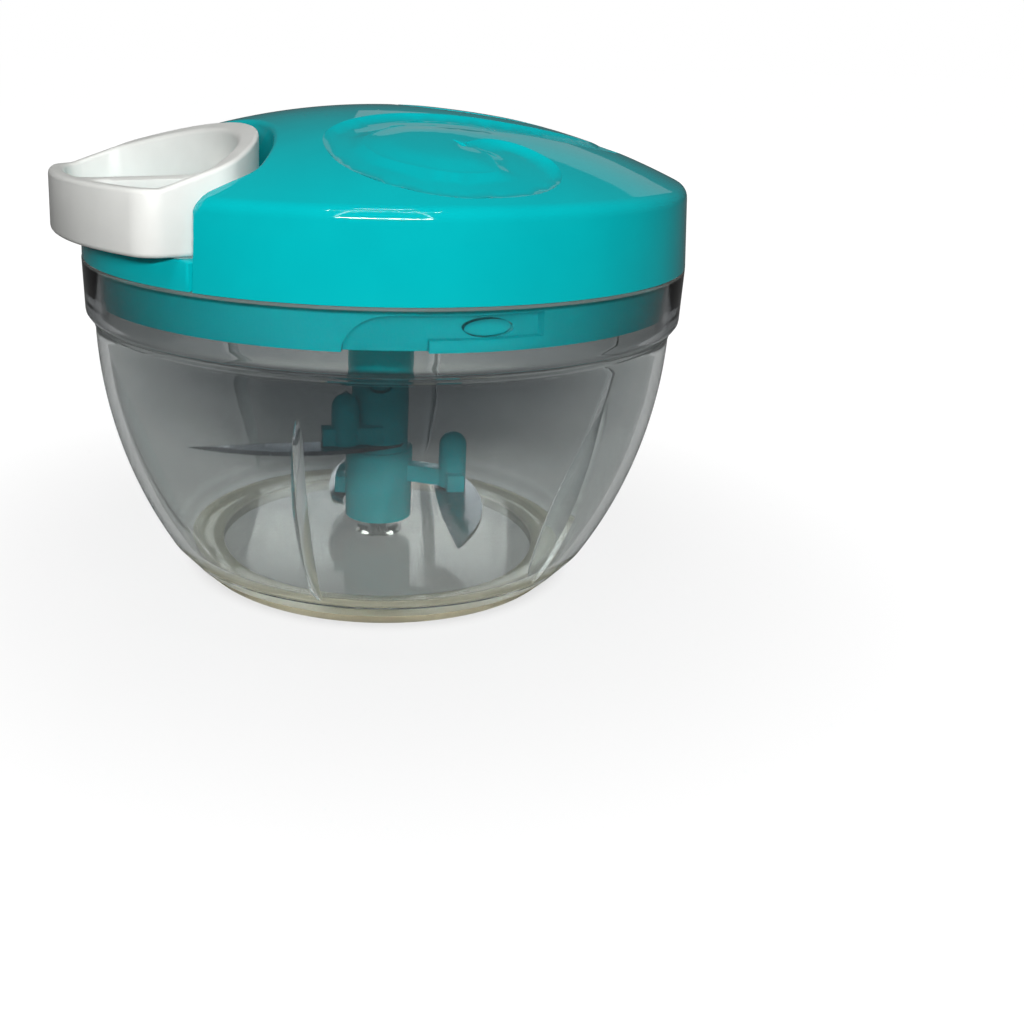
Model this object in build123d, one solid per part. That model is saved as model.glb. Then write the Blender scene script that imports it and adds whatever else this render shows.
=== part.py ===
from build123d import *
import os
from math import acos, atan2, cos, degrees, hypot, radians, sin, sqrt

os.makedirs("parts", exist_ok=True)

# Pull-cord food chopper. Millimetres, +Z up, origin on the table under the bowl's axis.
# The handle is pulled along -X, and the XZ plane is the mirror plane of lid and handle.

# Shared allowances
running_gap = 0.05          # radial, shaft in bore
slip_gap = 0.3              # between parts that slide or are lifted out
overrun = 5.0               # how far a cutting shape passes the face it cuts
root_depth = 0.8            # how far a rib or lug is rooted in its wall

# Bowl
bowl_radius = 62.5          # outside of the collar at its rim
bowl_height = 67.3          # table to rim
bowl_wall = 2.0
foot_radius = 39.8
knee_reach = 6.6            # how far the cone above the foot goes out
knee_rise = 7.3
flank_mid_share = (0.59, 0.364)
collar_height = 11.0
collar_draft = 0.4
collar_step = 2.3
collar_step_rise = 3.0
floor_thickness = 2.0
floor_clearance = 2.2       # table to underside of the floor
floor_round = 11.0
fin_count = 6
fin_thickness = 1.8
fin_depth = 6.0
fin_swirl = 40.0            # degrees between a fin and the radius
fin_first_angle = -133.1    # degrees about the axis
fin_top_gap = 20.0          # rim to top of a fin
boss_radius = 4.6
boss_height = 1.5
pin_radius = 2.0
pin_rise = 12.0             # above the floor
pin_grip = 3.0              # length held by floor and boss
pin_chamfer = 0.5
ring_height = 2.9
ring_width = 5.2

# Bayonet between bowl and lid
bayonet_count = 3
lug_angle = -102.35         # degrees, centre of the first lug
lug_width = 8.9
lug_height = 3.2
lug_drop = 4.1              # rim to lug centre
entry_angle = -119.0        # degrees, centre of the first way in
entry_sweep = 14.1          # degrees
entry_round = 5.5           # upper corner of the way in
slot_end_angle = -92.2
slot_roof_drop = 2.0
slot_sill_drop = 6.2
slot_floor_wall = 1.4      # behind the track of a lug

# Lid cover
lid_rise = 30.2             # rim to top of the dome
lid_side_rise = 15.5        # rim to where the dome meets the side
lid_side_draft = 0.7
lid_wall = 2.2
lid_shoulder_round = 3.0
cover_bore_gap = 2.2        # side wall at the rim
front_boss_angle = 40.0     # degrees about the axis, to either side of +X
rear_boss_angle = 115.0
screw_boss_radius = 3.6
screw_edge_gap = 8.1        # head of a screw to the lid base's skirt
post_radius = 4.0

# Recess in the lid for the handle
recess_half_width = 29.0
recess_arc = 39.0
recess_apex = 29.3          # axis to the nearest point of its wall
recess_corner = 6.0
recess_floor_rise = 5.4
recess_wall = 1.8

# Ornament on the lid
relief_depth = 0.7
scroll_outer_shares = (
    (0.700, -0.255), (0.588, -0.334), (0.455, -0.381), (0.328, -0.380), (0.210, -0.351),
    (0.043, -0.285), (-0.137, -0.246), (-0.308, -0.280), (-0.430, -0.390), (-0.478, -0.575),
    (-0.425, -0.750), (-0.282, -0.883), (-0.080, -0.919), (0.066, -0.866), (0.134, -0.745),
    (0.100, -0.620), (0.020, -0.572), (-0.067, -0.593),
)
scroll_hook_shares = ((-0.067, -0.593), (-0.045, -0.672), (-0.075, -0.780))
scroll_inner_shares = (
    (-0.075, -0.780), (-0.160, -0.777), (-0.260, -0.727), (-0.350, -0.600), (-0.335, -0.455),
    (-0.200, -0.393), (-0.092, -0.406), (0.020, -0.447), (0.121, -0.493), (0.236, -0.531),
    (0.345, -0.549), (0.460, -0.539), (0.568, -0.498), (0.655, -0.428), (0.705, -0.330),
    (0.700, -0.255),
)
medallion_half_length = 15.3
medallion_half_width = 10.9
medallion_centre = 23.5     # axis to medallion
medallion_thickness = 1.2
medallion_seat_depth = 0.9
medallion_gap = 0.3
medallion_peg_radius = 1.2
moat_half_length = 21.4
moat_half_width = 17.2
moat_inner_half_length = 18.9
moat_inner_half_width = 14.6

# Lid base
plate_thickness = 1.8
skirt_depth = 8.3
skirt_wall = 1.9
bush_boss_radius = 12.0
bush_boss_depth = 3.0

# Lid screws
screw_radius = 1.5
screw_head_radius = 2.8
screw_head_height = 1.8
screw_length = 10.0
screw_socket_radius = 1.3
screw_socket_depth = 1.0

# Handle
handle_overhang = 5.8       # beyond the lid's side
handle_face_arc = 64.9
handle_arc = 35.0
handle_wall_gap = 2.6       # inner bar to recess wall
handle_side_gap = 0.7
handle_wall = 4.0
handle_outer_corner = 5.0
handle_inner_corner = 7.0
handle_corner_shares = (0.44, 0.54)     # most of a straight end that its two corners may take
handle_low_height = 11.7    # outer bar
handle_high_height = 21.2   # inner bar
handle_flat_share = 0.26    # part of the depth on which the top is level
handle_mid_share = (0.63, 0.45)
handle_edge_round = 1.0
spoke_width = 4.5
spoke_height = 6.5
spoke_top_gap = 0.6
hub_radius = 5.0
hub_inset = 2.6             # hub centre to the inner face of the inner bar
hub_lift = 0.8
knot_pocket_radius = 3.3
knot_pocket_roof = 2.0

# Cord
cord_diameter = 1.8
cord_height = 11.4          # rim to the cord's line
cord_hole_gap = 0.3
cord_bend = 3.0
cord_turns = 3              # on the drum at rest
cord_pitch = 2.05
cord_side_gap = 0.4         # winding to the spool's flanges
cord_corner_gap = 1.6       # recess wall to the corner of the cord behind it
knot_radius = 2.5
eyelet_bore_gap = 0.35
eyelet_wall = 1.1
eyelet_flange = 1.2
eyelet_flange_thickness = 0.7

# Spool and its spring
drum_radius = 17.0
drum_wall = 1.8
flange_radius = 21.5
flange_thickness = 1.2
spool_low = 8.6             # rim to the underside of the spool
chamber_depth = 4.4
chamber_wall = 1.2
hub_wall = 2.2
spring_thickness = 0.4
spring_half_turns = 15
spring_side_gap = 0.3
spring_cover_thickness = 0.8
pawl_post_radius = 2.4
pawl_circle_radius = 9.6    # axis to a pawl's pin

# Spool fastening under the post
washer_radius = 6.0
washer_thickness = 0.6
spool_screw_radius = 1.4
spool_screw_length = 8.0
spool_screw_head_radius = 2.7
spool_screw_head_height = 1.6

# One-way clutch and drive shaft
cup_radius = 15.2
cup_wall = 1.4
cup_floor_low = 2.7         # rim to the underside of the cup
cup_floor = 1.5
cup_rim_gap = 0.7           # below the spool
tooth_count = 12
tooth_depth = 1.1
tooth_face = 2.0            # degrees taken by the steep face of a tooth
pawl_thickness = 2.4
pawl_pin_radius = 1.2
pawl_eye_radius = 2.3
pawl_width = 2.2
pawl_reach_share = 0.93     # of the radius to the teeth
pawl_lead = 50.0            # degrees from a pawl's pin to its tip, about the axis
stem_radius = 7.3
stem_drop = 30.0            # rim to the lower end of the stem
stem_socket_depth = 9.0
drive_across_flats = 9.0
bush_wall = 1.8
bush_flange_radius = 11.0
bush_flange_thickness = 0.7
clip_radius = 9.0
clip_thickness = 0.9
clip_groove_depth = 0.7
clip_gap = 0.1
thrust_washer_radius = 10.4
thrust_washer_thickness = 0.8

# Blade unit
hub_lower_radius = 7.4
hub_upper_radius = 6.3
hub_lower_height = 15.5
hub_floor_gap = 2.3         # boss to the underside of the hub
spigot_height = 7.5
spigot_gap = 0.2
arm_width = 3.6
arm_height = 3.6
arm_post_radius = 3.0
holder_length = 13.0        # of the bar that lies on a blade
holder_tail = 8.0           # of that length, behind the post
blade_thickness = 1.0
blade_length = 33.0         # post to tip
blade_tail = 12.0           # post to root
blade_width = 9.0
blade_root_shares = (0.15, -0.25)
blade_hub_gap = 0.6
rivet_radius = 1.1
rivet_head_radius = 1.9
rivet_head_height = 0.6
upper_arm_angle = -162.7    # degrees about the axis
upper_arm_reach = 10.8      # axis to the arm's post
upper_arm_rise = 18.5       # above the hub's underside
upper_post_height = 11.0
upper_blade_heading = -197.6
middle_arm_angle = -48.6
middle_arm_reach = 16.9
middle_arm_rise = 8.8
middle_post_height = 12.0
middle_blade_heading = -112.7
lower_arm_angle = -264.6
lower_arm_reach = 12.0
lower_arm_rise = 3.6
lower_post_height = 4.6
lower_blade_heading = -308.0
arms = {
    "blade_upper": (upper_arm_angle, upper_arm_reach, upper_arm_rise, upper_post_height),
    "blade_middle": (middle_arm_angle, middle_arm_reach, middle_arm_rise, middle_post_height),
    "blade_lower": (lower_arm_angle, lower_arm_reach, lower_arm_rise, lower_post_height),
}
blade_headings = {
    "blade_upper": upper_blade_heading,
    "blade_middle": middle_blade_heading,
    "blade_lower": lower_blade_heading,
}

# Heights and radii that follow
rim = bowl_height
collar_low_radius = bowl_radius - collar_draft
neck_radius = collar_low_radius - collar_step + collar_draft
collar_low = rim - collar_height
neck_top = collar_low - collar_step_rise
floor_top = floor_clearance + floor_thickness
collar_bore = bowl_radius - bowl_wall
skirt_radius = collar_bore - collar_draft - slip_gap
lug_tip = collar_bore - skirt_wall - slip_gap
slot_floor = lug_tip - slip_gap
screw_circle_radius = skirt_radius - skirt_wall - screw_edge_gap - screw_head_radius
boss_angles = (front_boss_angle, -front_boss_angle, rear_boss_angle, -rear_boss_angle)
lid_top = rim + lid_rise
lid_side_radius = bowl_radius - lid_side_draft
dome_radius = (lid_side_radius ** 2 + (lid_rise - lid_side_rise) ** 2) / (2 * (lid_rise - lid_side_rise))
cover_bore = bowl_radius - cover_bore_gap
plate_top = rim + plate_thickness
recess_floor = rim + recess_floor_rise
recess_centre = recess_apex + recess_arc
cord_level = rim + cord_height
cord_corner = recess_apex - recess_wall - cord_corner_gap
winding_radius = drum_radius + cord_diameter / 2 + running_gap
groove_height = cord_pitch * cord_turns + cord_diameter + 2 * cord_side_gap
spool_bottom = rim + spool_low
groove_low = spool_bottom + flange_thickness
web_low = groove_low + groove_height
web_top = web_low + flange_thickness
chamber_top = web_top + chamber_depth
spool_bore = post_radius + running_gap
spool_hub = spool_bore + hub_wall
cup_bottom = rim + cup_floor_low
cup_floor_top = cup_bottom + cup_floor
cup_top = spool_bottom - cup_rim_gap
tooth_root = cup_radius - cup_wall
tooth_tip = tooth_root - tooth_depth
stem_bottom = rim - stem_drop
bush_bore = stem_radius + running_gap
bush_outer = bush_bore + bush_wall
bush_bottom = rim - bush_boss_depth
boss_top = floor_top + boss_height
hub_bottom = boss_top + hub_floor_gap
hub_shoulder = hub_bottom + hub_lower_height
hub_top = stem_bottom - slip_gap
hub_centre_x = -(recess_apex + handle_wall_gap + handle_wall + hub_inset)


def disc(radius, low, high):
    """A solid cylinder on the axis between two heights."""
    return Pos(0, 0, low) * Cylinder(radius, high - low, align=(Align.CENTER, Align.CENTER, Align.MIN))


def tube(outer, inner, low, high):
    """A ring on the axis between two heights."""
    return disc(outer, low, high) - disc(inner, low - overrun, high + overrun)


def column(radius, x, y, low, high):
    """An upright cylinder away from the axis."""
    return Pos(x, y, 0) * disc(radius, low, high)


def slab(length, width, low, high):
    """An upright block centred on the axis."""
    return Pos(0, 0, low) * Box(length, width, high - low, align=(Align.CENTER, Align.CENTER, Align.MIN))


def turned(section):
    """A section drawn as radius and height, turned about the axis."""
    return revolve(Plane.XZ * section, axis=Axis.Z)


def polar(radius, angle):
    """A place in plan."""
    return radius * cos(radians(angle)), radius * sin(radians(angle))


def scaled(shares, length):
    """Points given as shares of one length."""
    return [(x * length, y * length) for x, y in shares]


# Bowl

def bowl_outline(top):
    """Outer outline of the bowl as a half section, with the collar carried on to a height."""
    knee = (foot_radius + knee_reach, knee_rise)
    neck = (neck_radius, neck_top)
    middle = (
        knee[0] + flank_mid_share[0] * (neck[0] - knee[0]),
        knee[1] + flank_mid_share[1] * (neck[1] - knee[1]),
    )
    lean = collar_draft / collar_height
    rim_point = (collar_low_radius + lean * (top - collar_low), top)
    outline = Polyline((0, top), (0, 0), (foot_radius, 0), knee)
    outline += ThreePointArc(knee, middle, neck)
    outline += Polyline(neck, (collar_low_radius, collar_low), rim_point, (0, top))
    return make_face(outline)


def right_half(section):
    """The part of a section on the positive side of the axis."""
    return section & Pos(bowl_radius, 0) * Rectangle(2 * bowl_radius, 6 * bowl_radius)


def bowl_cavity():
    """The space inside the wall, from the floor up past the rim."""
    half = bowl_outline(rim + 2 * bowl_wall)
    whole = half + mirror(half, about=Plane.YZ)
    inner = right_half(offset(whole, amount=-bowl_wall, kind=Kind.INTERSECTION))
    inner -= Rectangle(6 * bowl_radius, 2 * floor_top)
    corner = inner.vertices().filter_by(lambda v: v.X > foot_radius / 2).sort_by(Axis.Y)[0]
    return fillet(corner, floor_round)


def base_zone():
    """The section that the anti-slip ring fills under the bowl."""
    inner = foot_radius - ring_width
    band = Pos((inner + bowl_radius) / 2, ring_height / 2) * Rectangle(bowl_radius - inner, ring_height)
    return bowl_outline(rim) & band


def fin_zone():
    """The section between the wall and the swelling line of the fins."""
    top = rim - fin_top_gap
    wall_top = (neck_radius - bowl_wall, top)
    foot = (foot_radius + fin_thickness, floor_top)
    middle = (wall_top[0] - fin_depth, (top + floor_top) / 2)
    swelling = ThreePointArc(wall_top, middle, foot)
    back = Polyline(foot, (bowl_radius, floor_top), (bowl_radius, top), wall_top)
    return make_face(swelling + back) & bowl_outline(rim)


def bowl_fins():
    """Swept fins that turn the food back into the blades."""
    zone = turned(fin_zone())
    fins = []
    for i in range(fin_count):
        angle = fin_first_angle + 360 * i / fin_count
        x, y = polar(neck_radius, angle)
        plate = Location((x, y, 0), (0, 0, angle + fin_swirl)) * Pos(-fin_depth, 0, 0) * slab(
            6 * fin_depth, fin_thickness, floor_top - root_depth, rim
        )
        fins.append(zone & plate)
    return fins


def lug_shape(angle):
    """An oval lug on the inside of the collar."""
    oval = SlotOverall(lug_width, lug_height)
    lug = extrude(Plane.YZ * oval, amount=collar_bore + root_depth - lug_tip)
    return Rot(0, 0, angle) * Pos(lug_tip, 0, rim - lug_drop) * lug


def make_bowl():
    shell = turned(bowl_outline(rim) - bowl_cavity() - base_zone())
    shell -= disc(foot_radius - ring_width, -overrun, floor_clearance)
    for fin in bowl_fins():
        shell += fin
    for i in range(bayonet_count):
        shell += lug_shape(lug_angle + 360 * i / bayonet_count)
    shell += disc(boss_radius, floor_top, boss_top)
    return shell - disc(pin_radius, boss_top - pin_grip, rim)


def make_pin():
    pin = disc(pin_radius, boss_top - pin_grip, boss_top + pin_rise)
    return chamfer(pin.edges().sort_by(Axis.Z)[-1], pin_chamfer)


def make_ring():
    return turned(base_zone())


# Lid

def dome_section(drop, side, low):
    """Half section under the dome, lowered by drop, inside a straight side that ends at low."""
    radius = dome_radius - drop
    centre = lid_top - dome_radius
    edge = centre + sqrt(radius ** 2 - side ** 2)
    half_way = side / 2
    outline = Line((0, low), (side, low))
    outline += Line((side, low), (side, edge))
    outline += ThreePointArc(
        (side, edge), (half_way, centre + sqrt(radius ** 2 - half_way ** 2)), (0, lid_top - drop)
    )
    outline += Line((0, lid_top - drop), (0, low))
    return make_face(outline)


def outer_section():
    """The lid's outside as a half section, with its drafted side and soft shoulder."""
    section = dome_section(0, lid_side_radius, rim)
    corner = section.vertices().filter_by(lambda v: v.X > bowl_radius / 2).sort_by(Axis.Y)[-1]
    section = fillet(corner, lid_shoulder_round)
    side = (lid_side_radius, rim + lid_side_rise - 2 * lid_shoulder_round)
    draft = make_face(Polyline((lid_side_radius, rim), (bowl_radius, rim), side, close=True))
    return section + draft


def inner_section():
    return dome_section(lid_wall, cover_bore - lid_side_draft, rim)


def recess_plan(grow):
    """Plan of the recess, or of its wall when grown."""
    width = 2 * (recess_half_width + grow)
    plan = Pos(-recess_centre, 0) * Circle(recess_arc + grow)
    plan &= Pos(-recess_centre, 0) * Rectangle(2 * recess_centre, width)
    corners = plan.vertices().sort_by(Axis.X)[-2:]
    return fillet(corners, recess_corner + grow)


def prism(plan, low, high):
    return extrude(Pos(0, 0, low) * plan, amount=high - low)


def scroll_plan():
    """One curled band of the ornament in plan."""
    lines = Spline(*scaled(scroll_outer_shares, bowl_radius))
    lines += Spline(*scaled(scroll_hook_shares, bowl_radius))
    lines += Spline(*scaled(scroll_inner_shares, bowl_radius))
    return make_face(lines)


def ornament_plan():
    """Both scrolls and the oval moat round the medallion."""
    scroll = scroll_plan()
    moat = Ellipse(moat_half_length, moat_half_width)
    moat -= Ellipse(moat_inner_half_length, moat_inner_half_width)
    return [scroll, mirror(scroll, about=Plane.XZ), Pos(medallion_centre, 0) * moat]


def sunk(plan, depth):
    """What is cut from the dome to sink a plan by a depth."""
    lowered = turned(dome_section(depth, bowl_radius, rim))
    return prism(plan, rim + lid_side_rise, lid_top + overrun) - lowered


def make_cover():
    hollow = turned(inner_section())
    hollow -= prism(recess_plan(recess_wall), recess_floor - recess_wall, lid_top + overrun)
    hollow -= disc(post_radius, spool_bottom, lid_top)
    for angle in boss_angles:
        x, y = polar(screw_circle_radius, angle)
        hollow -= column(screw_boss_radius, x, y, plate_top, lid_top)
    cover = turned(outer_section()) - hollow
    cover -= prism(recess_plan(0), recess_floor, lid_top + overrun)
    for plan in ornament_plan():
        cover -= sunk(plan, relief_depth)
    seat = Pos(medallion_centre, 0) * Ellipse(
        medallion_half_length + medallion_gap, medallion_half_width + medallion_gap
    )
    cover -= sunk(seat, medallion_seat_depth)
    for angle in boss_angles:
        x, y = polar(screw_circle_radius, angle)
        cover -= column(screw_radius + running_gap, x, y, rim, rim + screw_length + slip_gap)
    cover -= disc(spool_screw_radius + running_gap, rim, spool_bottom + spool_screw_length)
    hole = Pos(-recess_apex, 0, cord_level) * Rot(0, 90, 0)
    return cover - hole * Cylinder(eyelet_radius(), 2 * recess_wall + overrun)


def make_medallion():
    plate = Pos(medallion_centre, 0) * Ellipse(medallion_half_length, medallion_half_width)
    top = turned(dome_section(medallion_seat_depth - medallion_thickness, bowl_radius, rim))
    floor = turned(dome_section(medallion_seat_depth, bowl_radius, rim))
    return (prism(plate, rim + lid_side_rise, lid_top + overrun) & top) - floor


def sector(outer, inner, low, high, start, sweep):
    """Part of a ring between two heights, starting at an angle."""
    section = Pos((outer + inner) / 2, (low + high) / 2) * Rectangle(outer - inner, high - low)
    return Rot(0, 0, start) * revolve(Plane.XZ * section, axis=Axis.Z, revolution_arc=sweep)


def bayonet_slot():
    """The L-shaped track that a lug takes in the skirt."""
    start = entry_angle - entry_sweep / 2
    inner = slot_floor
    outer = skirt_radius + overrun
    bottom = rim - skirt_depth - overrun
    roof = rim - slot_roof_drop
    sill = rim - slot_sill_drop
    way_in = sector(outer, inner, bottom, roof, start, entry_sweep)
    radial = way_in.edges().filter_by(GeomType.LINE).sort_by(Axis.Z)[-2:]
    way_in = fillet(radial.sort_by_distance((*polar(outer, start), roof))[0], entry_round)
    across = sector(outer, inner, sill, roof, start, slot_end_angle - start)
    return way_in + across


def slot_backing():
    """The wall behind a track, a little longer than it."""
    margin = degrees(slot_floor_wall / skirt_radius)
    start = entry_angle - entry_sweep / 2 - margin
    sweep = slot_end_angle + margin - start
    return sector(slot_floor, slot_floor - slot_floor_wall, rim - skirt_depth, rim, start, sweep)


def make_lid_base():
    plate = disc(cover_bore - lid_side_draft - slip_gap, rim, plate_top)
    skirt = tube(skirt_radius, skirt_radius - skirt_wall, rim - skirt_depth, rim)
    base = plate + skirt + disc(bush_boss_radius, bush_bottom, rim)
    base -= disc(bush_outer + running_gap, bush_bottom - overrun, plate_top + overrun)
    turns = [Rot(0, 0, 360 * i / bayonet_count) for i in range(bayonet_count)]
    for turn in turns:
        base += turn * slot_backing()
    for turn in turns:
        base -= turn * bayonet_slot()
    for angle in boss_angles:
        x, y = polar(screw_circle_radius, angle)
        base -= column(screw_radius + running_gap, x, y, rim - overrun, plate_top + overrun)
    return base


def screw(radius, length, head_radius, head_height):
    """A pan-head screw that points up, with its head's bearing face at height zero."""
    body = disc(radius, 0, length) + disc(head_radius, -head_height, 0)
    body = fillet(body.edges().filter_by(GeomType.CIRCLE).sort_by(Axis.Z)[0], head_height / 3)
    hexagon = RegularPolygon(screw_socket_radius, 6)
    return body - prism(hexagon, -head_height, -head_height + screw_socket_depth)


def make_lid_screws():
    one = screw(screw_radius, screw_length, screw_head_radius, screw_head_height)
    places = [polar(screw_circle_radius, angle) for angle in boss_angles]
    return Compound(children=[Pos(x, y, rim) * one for x, y in places])


def eyelet_radius():
    return cord_diameter / 2 + eyelet_bore_gap + eyelet_wall


def make_eyelet():
    """A smooth ring that lines the cord's hole in the recess wall."""
    bore = cord_diameter / 2 + eyelet_bore_gap
    body = eyelet_radius() - running_gap
    reach = recess_wall / 2
    section = Pos((bore + body) / 2, 0) * Rectangle(body - bore, 2 * reach + slip_gap)
    flange = Rectangle(eyelet_flange + body - bore, eyelet_flange_thickness)
    middle = (bore + body + eyelet_flange) / 2
    section += Pos(middle, reach + eyelet_flange_thickness / 2 + slip_gap / 2) * flange
    ring = turned(section)
    return Pos(-recess_apex + recess_wall / 2, 0, cord_level) * Rot(0, -90, 0) * ring


# Handle

def handle_plan():
    """The lens-shaped plan of the handle, flat at its two ends."""
    face = -(bowl_radius + handle_overhang)
    apex = -(recess_apex + handle_wall_gap)
    width = 2 * (recess_half_width - handle_side_gap)
    plan = Pos(face + handle_face_arc, 0) * Circle(handle_face_arc)
    plan &= Pos(apex - handle_arc, 0) * Circle(handle_arc)
    plan &= Pos((face + apex) / 2, 0) * Rectangle(2 * (apex - face), width)
    corners = plan.vertices().sort_by(Axis.X)
    end_length = corners[-1].X - corners[0].X
    inner_x = corners[-1].X
    outer_share, inner_share = handle_corner_shares
    plan = fillet(corners[:2], min(handle_outer_corner, outer_share * end_length))
    inner = [v for v in plan.vertices() if abs(v.X - inner_x) < running_gap]
    return fillet(inner, min(handle_inner_corner, inner_share * end_length))


def handle_envelope():
    """The side view of the handle, level over the outer bar and rising to the inner one."""
    face = -(bowl_radius + handle_overhang)
    depth = bowl_radius + handle_overhang - recess_apex - handle_wall_gap
    low = recess_floor + slip_gap
    shoulder = (face + handle_flat_share * depth, low + handle_low_height)
    crest = (face + depth, low + handle_high_height)
    rise = crest[1] - shoulder[1]
    middle = (face + handle_mid_share[0] * depth, shoulder[1] + handle_mid_share[1] * rise)
    top = Line((face - overrun, shoulder[1]), shoulder)
    top += Spline(shoulder, middle, crest, tangents=((1, 0), (1, handle_mid_share[1])))
    beyond = (crest[0] + overrun, crest[1] + overrun * handle_mid_share[1])
    closing = Polyline(crest, beyond, (beyond[0], low), (face - overrun, low), (face - overrun, shoulder[1]))
    side = make_face(top + closing)
    return extrude(Plane.XZ * side, amount=bowl_radius, both=True)


def make_handle():
    low = recess_floor + slip_gap
    plan = handle_plan()
    window = offset(plan, amount=-handle_wall, kind=Kind.INTERSECTION)
    loop = prism(plan - window, low, lid_top + overrun) & handle_envelope()
    face = -(bowl_radius + handle_overhang)
    spoke_top = low + handle_low_height - spoke_top_gap
    spoke_length = hub_centre_x - face - handle_wall / 2
    spoke = Pos((face + handle_wall / 2 + hub_centre_x) / 2, 0, 0) * slab(
        spoke_length, spoke_width, spoke_top - spoke_height, spoke_top
    )
    hub = column(hub_radius, hub_centre_x, 0, low + hub_lift, spoke_top)
    handle = loop + spoke + hub
    roof = spoke_top - knot_pocket_roof
    handle -= column(knot_pocket_radius, hub_centre_x, 0, low - overrun, roof)
    bore = Pos(hub_centre_x / 2, 0, cord_level) * Rot(0, 90, 0)
    bore = bore * Cylinder(cord_diameter / 2 + cord_hole_gap, -hub_centre_x)
    return handle - bore


# Cord

def drum_departure():
    """Angle in plan at which the cord leaves the drum for the eyelet."""
    return 180 - degrees(acos(winding_radius / cord_corner))


def cord_tube(path):
    """A round cord along a path."""
    start = Plane(path @ 0, z_dir=path % 0)
    return sweep(start * Circle(cord_diameter / 2), path=path)


def make_cord_lead():
    """The cord from the drum through the eyelet to the knot in the handle."""
    x, y = polar(winding_radius, drum_departure())
    end = hub_centre_x + knot_face()
    points = [(x, y, cord_level), (-cord_corner, 0, cord_level), (end, 0, cord_level)]
    return cord_tube(FilletPolyline(*points, radius=cord_bend))


def make_winding():
    """The turns on the drum, from the departure point up to the anchored end."""
    helix = Helix(cord_pitch, cord_pitch * cord_turns, winding_radius, lefthand=True)
    place = Pos(0, 0, cord_level) * Rot(0, 0, drum_departure())
    return cord_tube(place * helix)


def knot_face():
    """Centre of the knot to the flat where the cord enters it."""
    return sqrt(knot_radius ** 2 - (cord_diameter / 2) ** 2)


def make_knot():
    """The knot that holds the cord's end in the handle's hub."""
    beyond = Pos(knot_face() + knot_radius, 0, 0) * Box(2 * knot_radius, 2 * knot_radius, 2 * knot_radius)
    return Pos(hub_centre_x, 0, cord_level) * (Sphere(knot_radius) - beyond)


# Spool and spring

def make_spool():
    section = tube(flange_radius, drum_radius - drum_wall, spool_bottom, groove_low)
    section += tube(drum_radius, drum_radius - drum_wall, spool_bottom, web_low)
    section += tube(flange_radius, spool_bore, web_low, web_top)
    section += tube(spool_hub, spool_bore, spool_bottom, web_top)
    section += tube(flange_radius, flange_radius - chamber_wall, web_top, chamber_top)
    for i in range(2):
        x, y = polar(pawl_circle_radius, 180 * i)
        section += column(pawl_post_radius, x, y, cup_top, web_low)
        section += column(pawl_pin_radius, x, y, cup_floor_top + slip_gap, cup_top)
    return section


def make_spring():
    """A flat power spring as half turns that widen from the post to the chamber wall."""
    inner = post_radius + spring_side_gap
    outer = flange_radius - chamber_wall - spring_side_gap - spring_thickness
    step = (outer - inner) / spring_half_turns
    low = web_top + spring_side_gap
    high = chamber_top - spring_side_gap
    strip = None
    for i in range(spring_half_turns):
        radius = inner + step * i + step / 2
        side = 1 if i % 2 == 0 else -1
        ring = Circle(radius + spring_thickness) - Circle(radius)
        half = ring & Pos(0, side * 2 * radius) * Rectangle(6 * radius, 4 * radius)
        piece = Pos(side * step / 2, 0) * half
        strip = piece if strip is None else strip + piece
    return prism(strip, low, high)


def make_spring_cover():
    high = chamber_top + spring_cover_thickness
    return tube(flange_radius, spool_bore + slip_gap, chamber_top, high)


def make_spool_washer():
    bore = spool_screw_radius + running_gap
    high = spool_bottom - running_gap
    return tube(washer_radius, bore, high - washer_thickness, high)


def make_spool_screw():
    one = screw(
        spool_screw_radius, spool_screw_length, spool_screw_head_radius, spool_screw_head_height
    )
    return Pos(0, 0, spool_bottom - running_gap - washer_thickness) * one


# One-way clutch and drive

def make_pawl(index):
    """A pawl on its pin, leaning towards the teeth."""
    angle = 180 * index
    x, y = polar(pawl_circle_radius, angle)
    tip_x, tip_y = polar(pawl_reach_share * tooth_tip, angle + pawl_lead)
    low = cup_floor_top + slip_gap
    high = low + pawl_thickness
    length = hypot(tip_x - x, tip_y - y)
    heading = degrees(atan2(tip_y - y, tip_x - x))
    arm = Pos(length / 2, 0) * SlotOverall(length + pawl_width / 2, pawl_width)
    body = Location((x, y, 0), (0, 0, heading)) * prism(Circle(pawl_eye_radius) + arm, low, high)
    return body - column(pawl_pin_radius + running_gap, x, y, low - overrun, high + overrun)


def ratchet_plan():
    """The opening of the cup, with saw teeth round it."""
    points = []
    for i in range(tooth_count):
        angle = 360 * i / tooth_count
        points.append(polar(tooth_root, angle))
        points.append(polar(tooth_tip, angle + 360 / tooth_count - tooth_face))
    return make_face(Polyline(*points, close=True))


def make_drive_shaft():
    shaft = disc(cup_radius, cup_bottom, cup_top) + disc(stem_radius, stem_bottom, cup_bottom)
    shaft -= prism(ratchet_plan(), cup_floor_top, cup_top + overrun)
    socket = RegularPolygon(drive_across_flats / 2, 6, major_radius=False)
    shaft -= prism(socket, stem_bottom - overrun, stem_bottom + stem_socket_depth)
    groove_top = bush_bottom - thrust_washer_thickness - 2 * clip_gap
    groove_low = groove_top - clip_thickness - clip_gap
    return shaft - tube(stem_radius + overrun, stem_radius - clip_groove_depth, groove_low, groove_top)


def make_bush():
    body = tube(bush_outer, bush_bore, bush_bottom, plate_top)
    return body + tube(bush_flange_radius, bush_bore, plate_top, plate_top + bush_flange_thickness)


def make_thrust_washer():
    high = bush_bottom - clip_gap
    return tube(thrust_washer_radius, bush_bore, high - thrust_washer_thickness, high)


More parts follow.
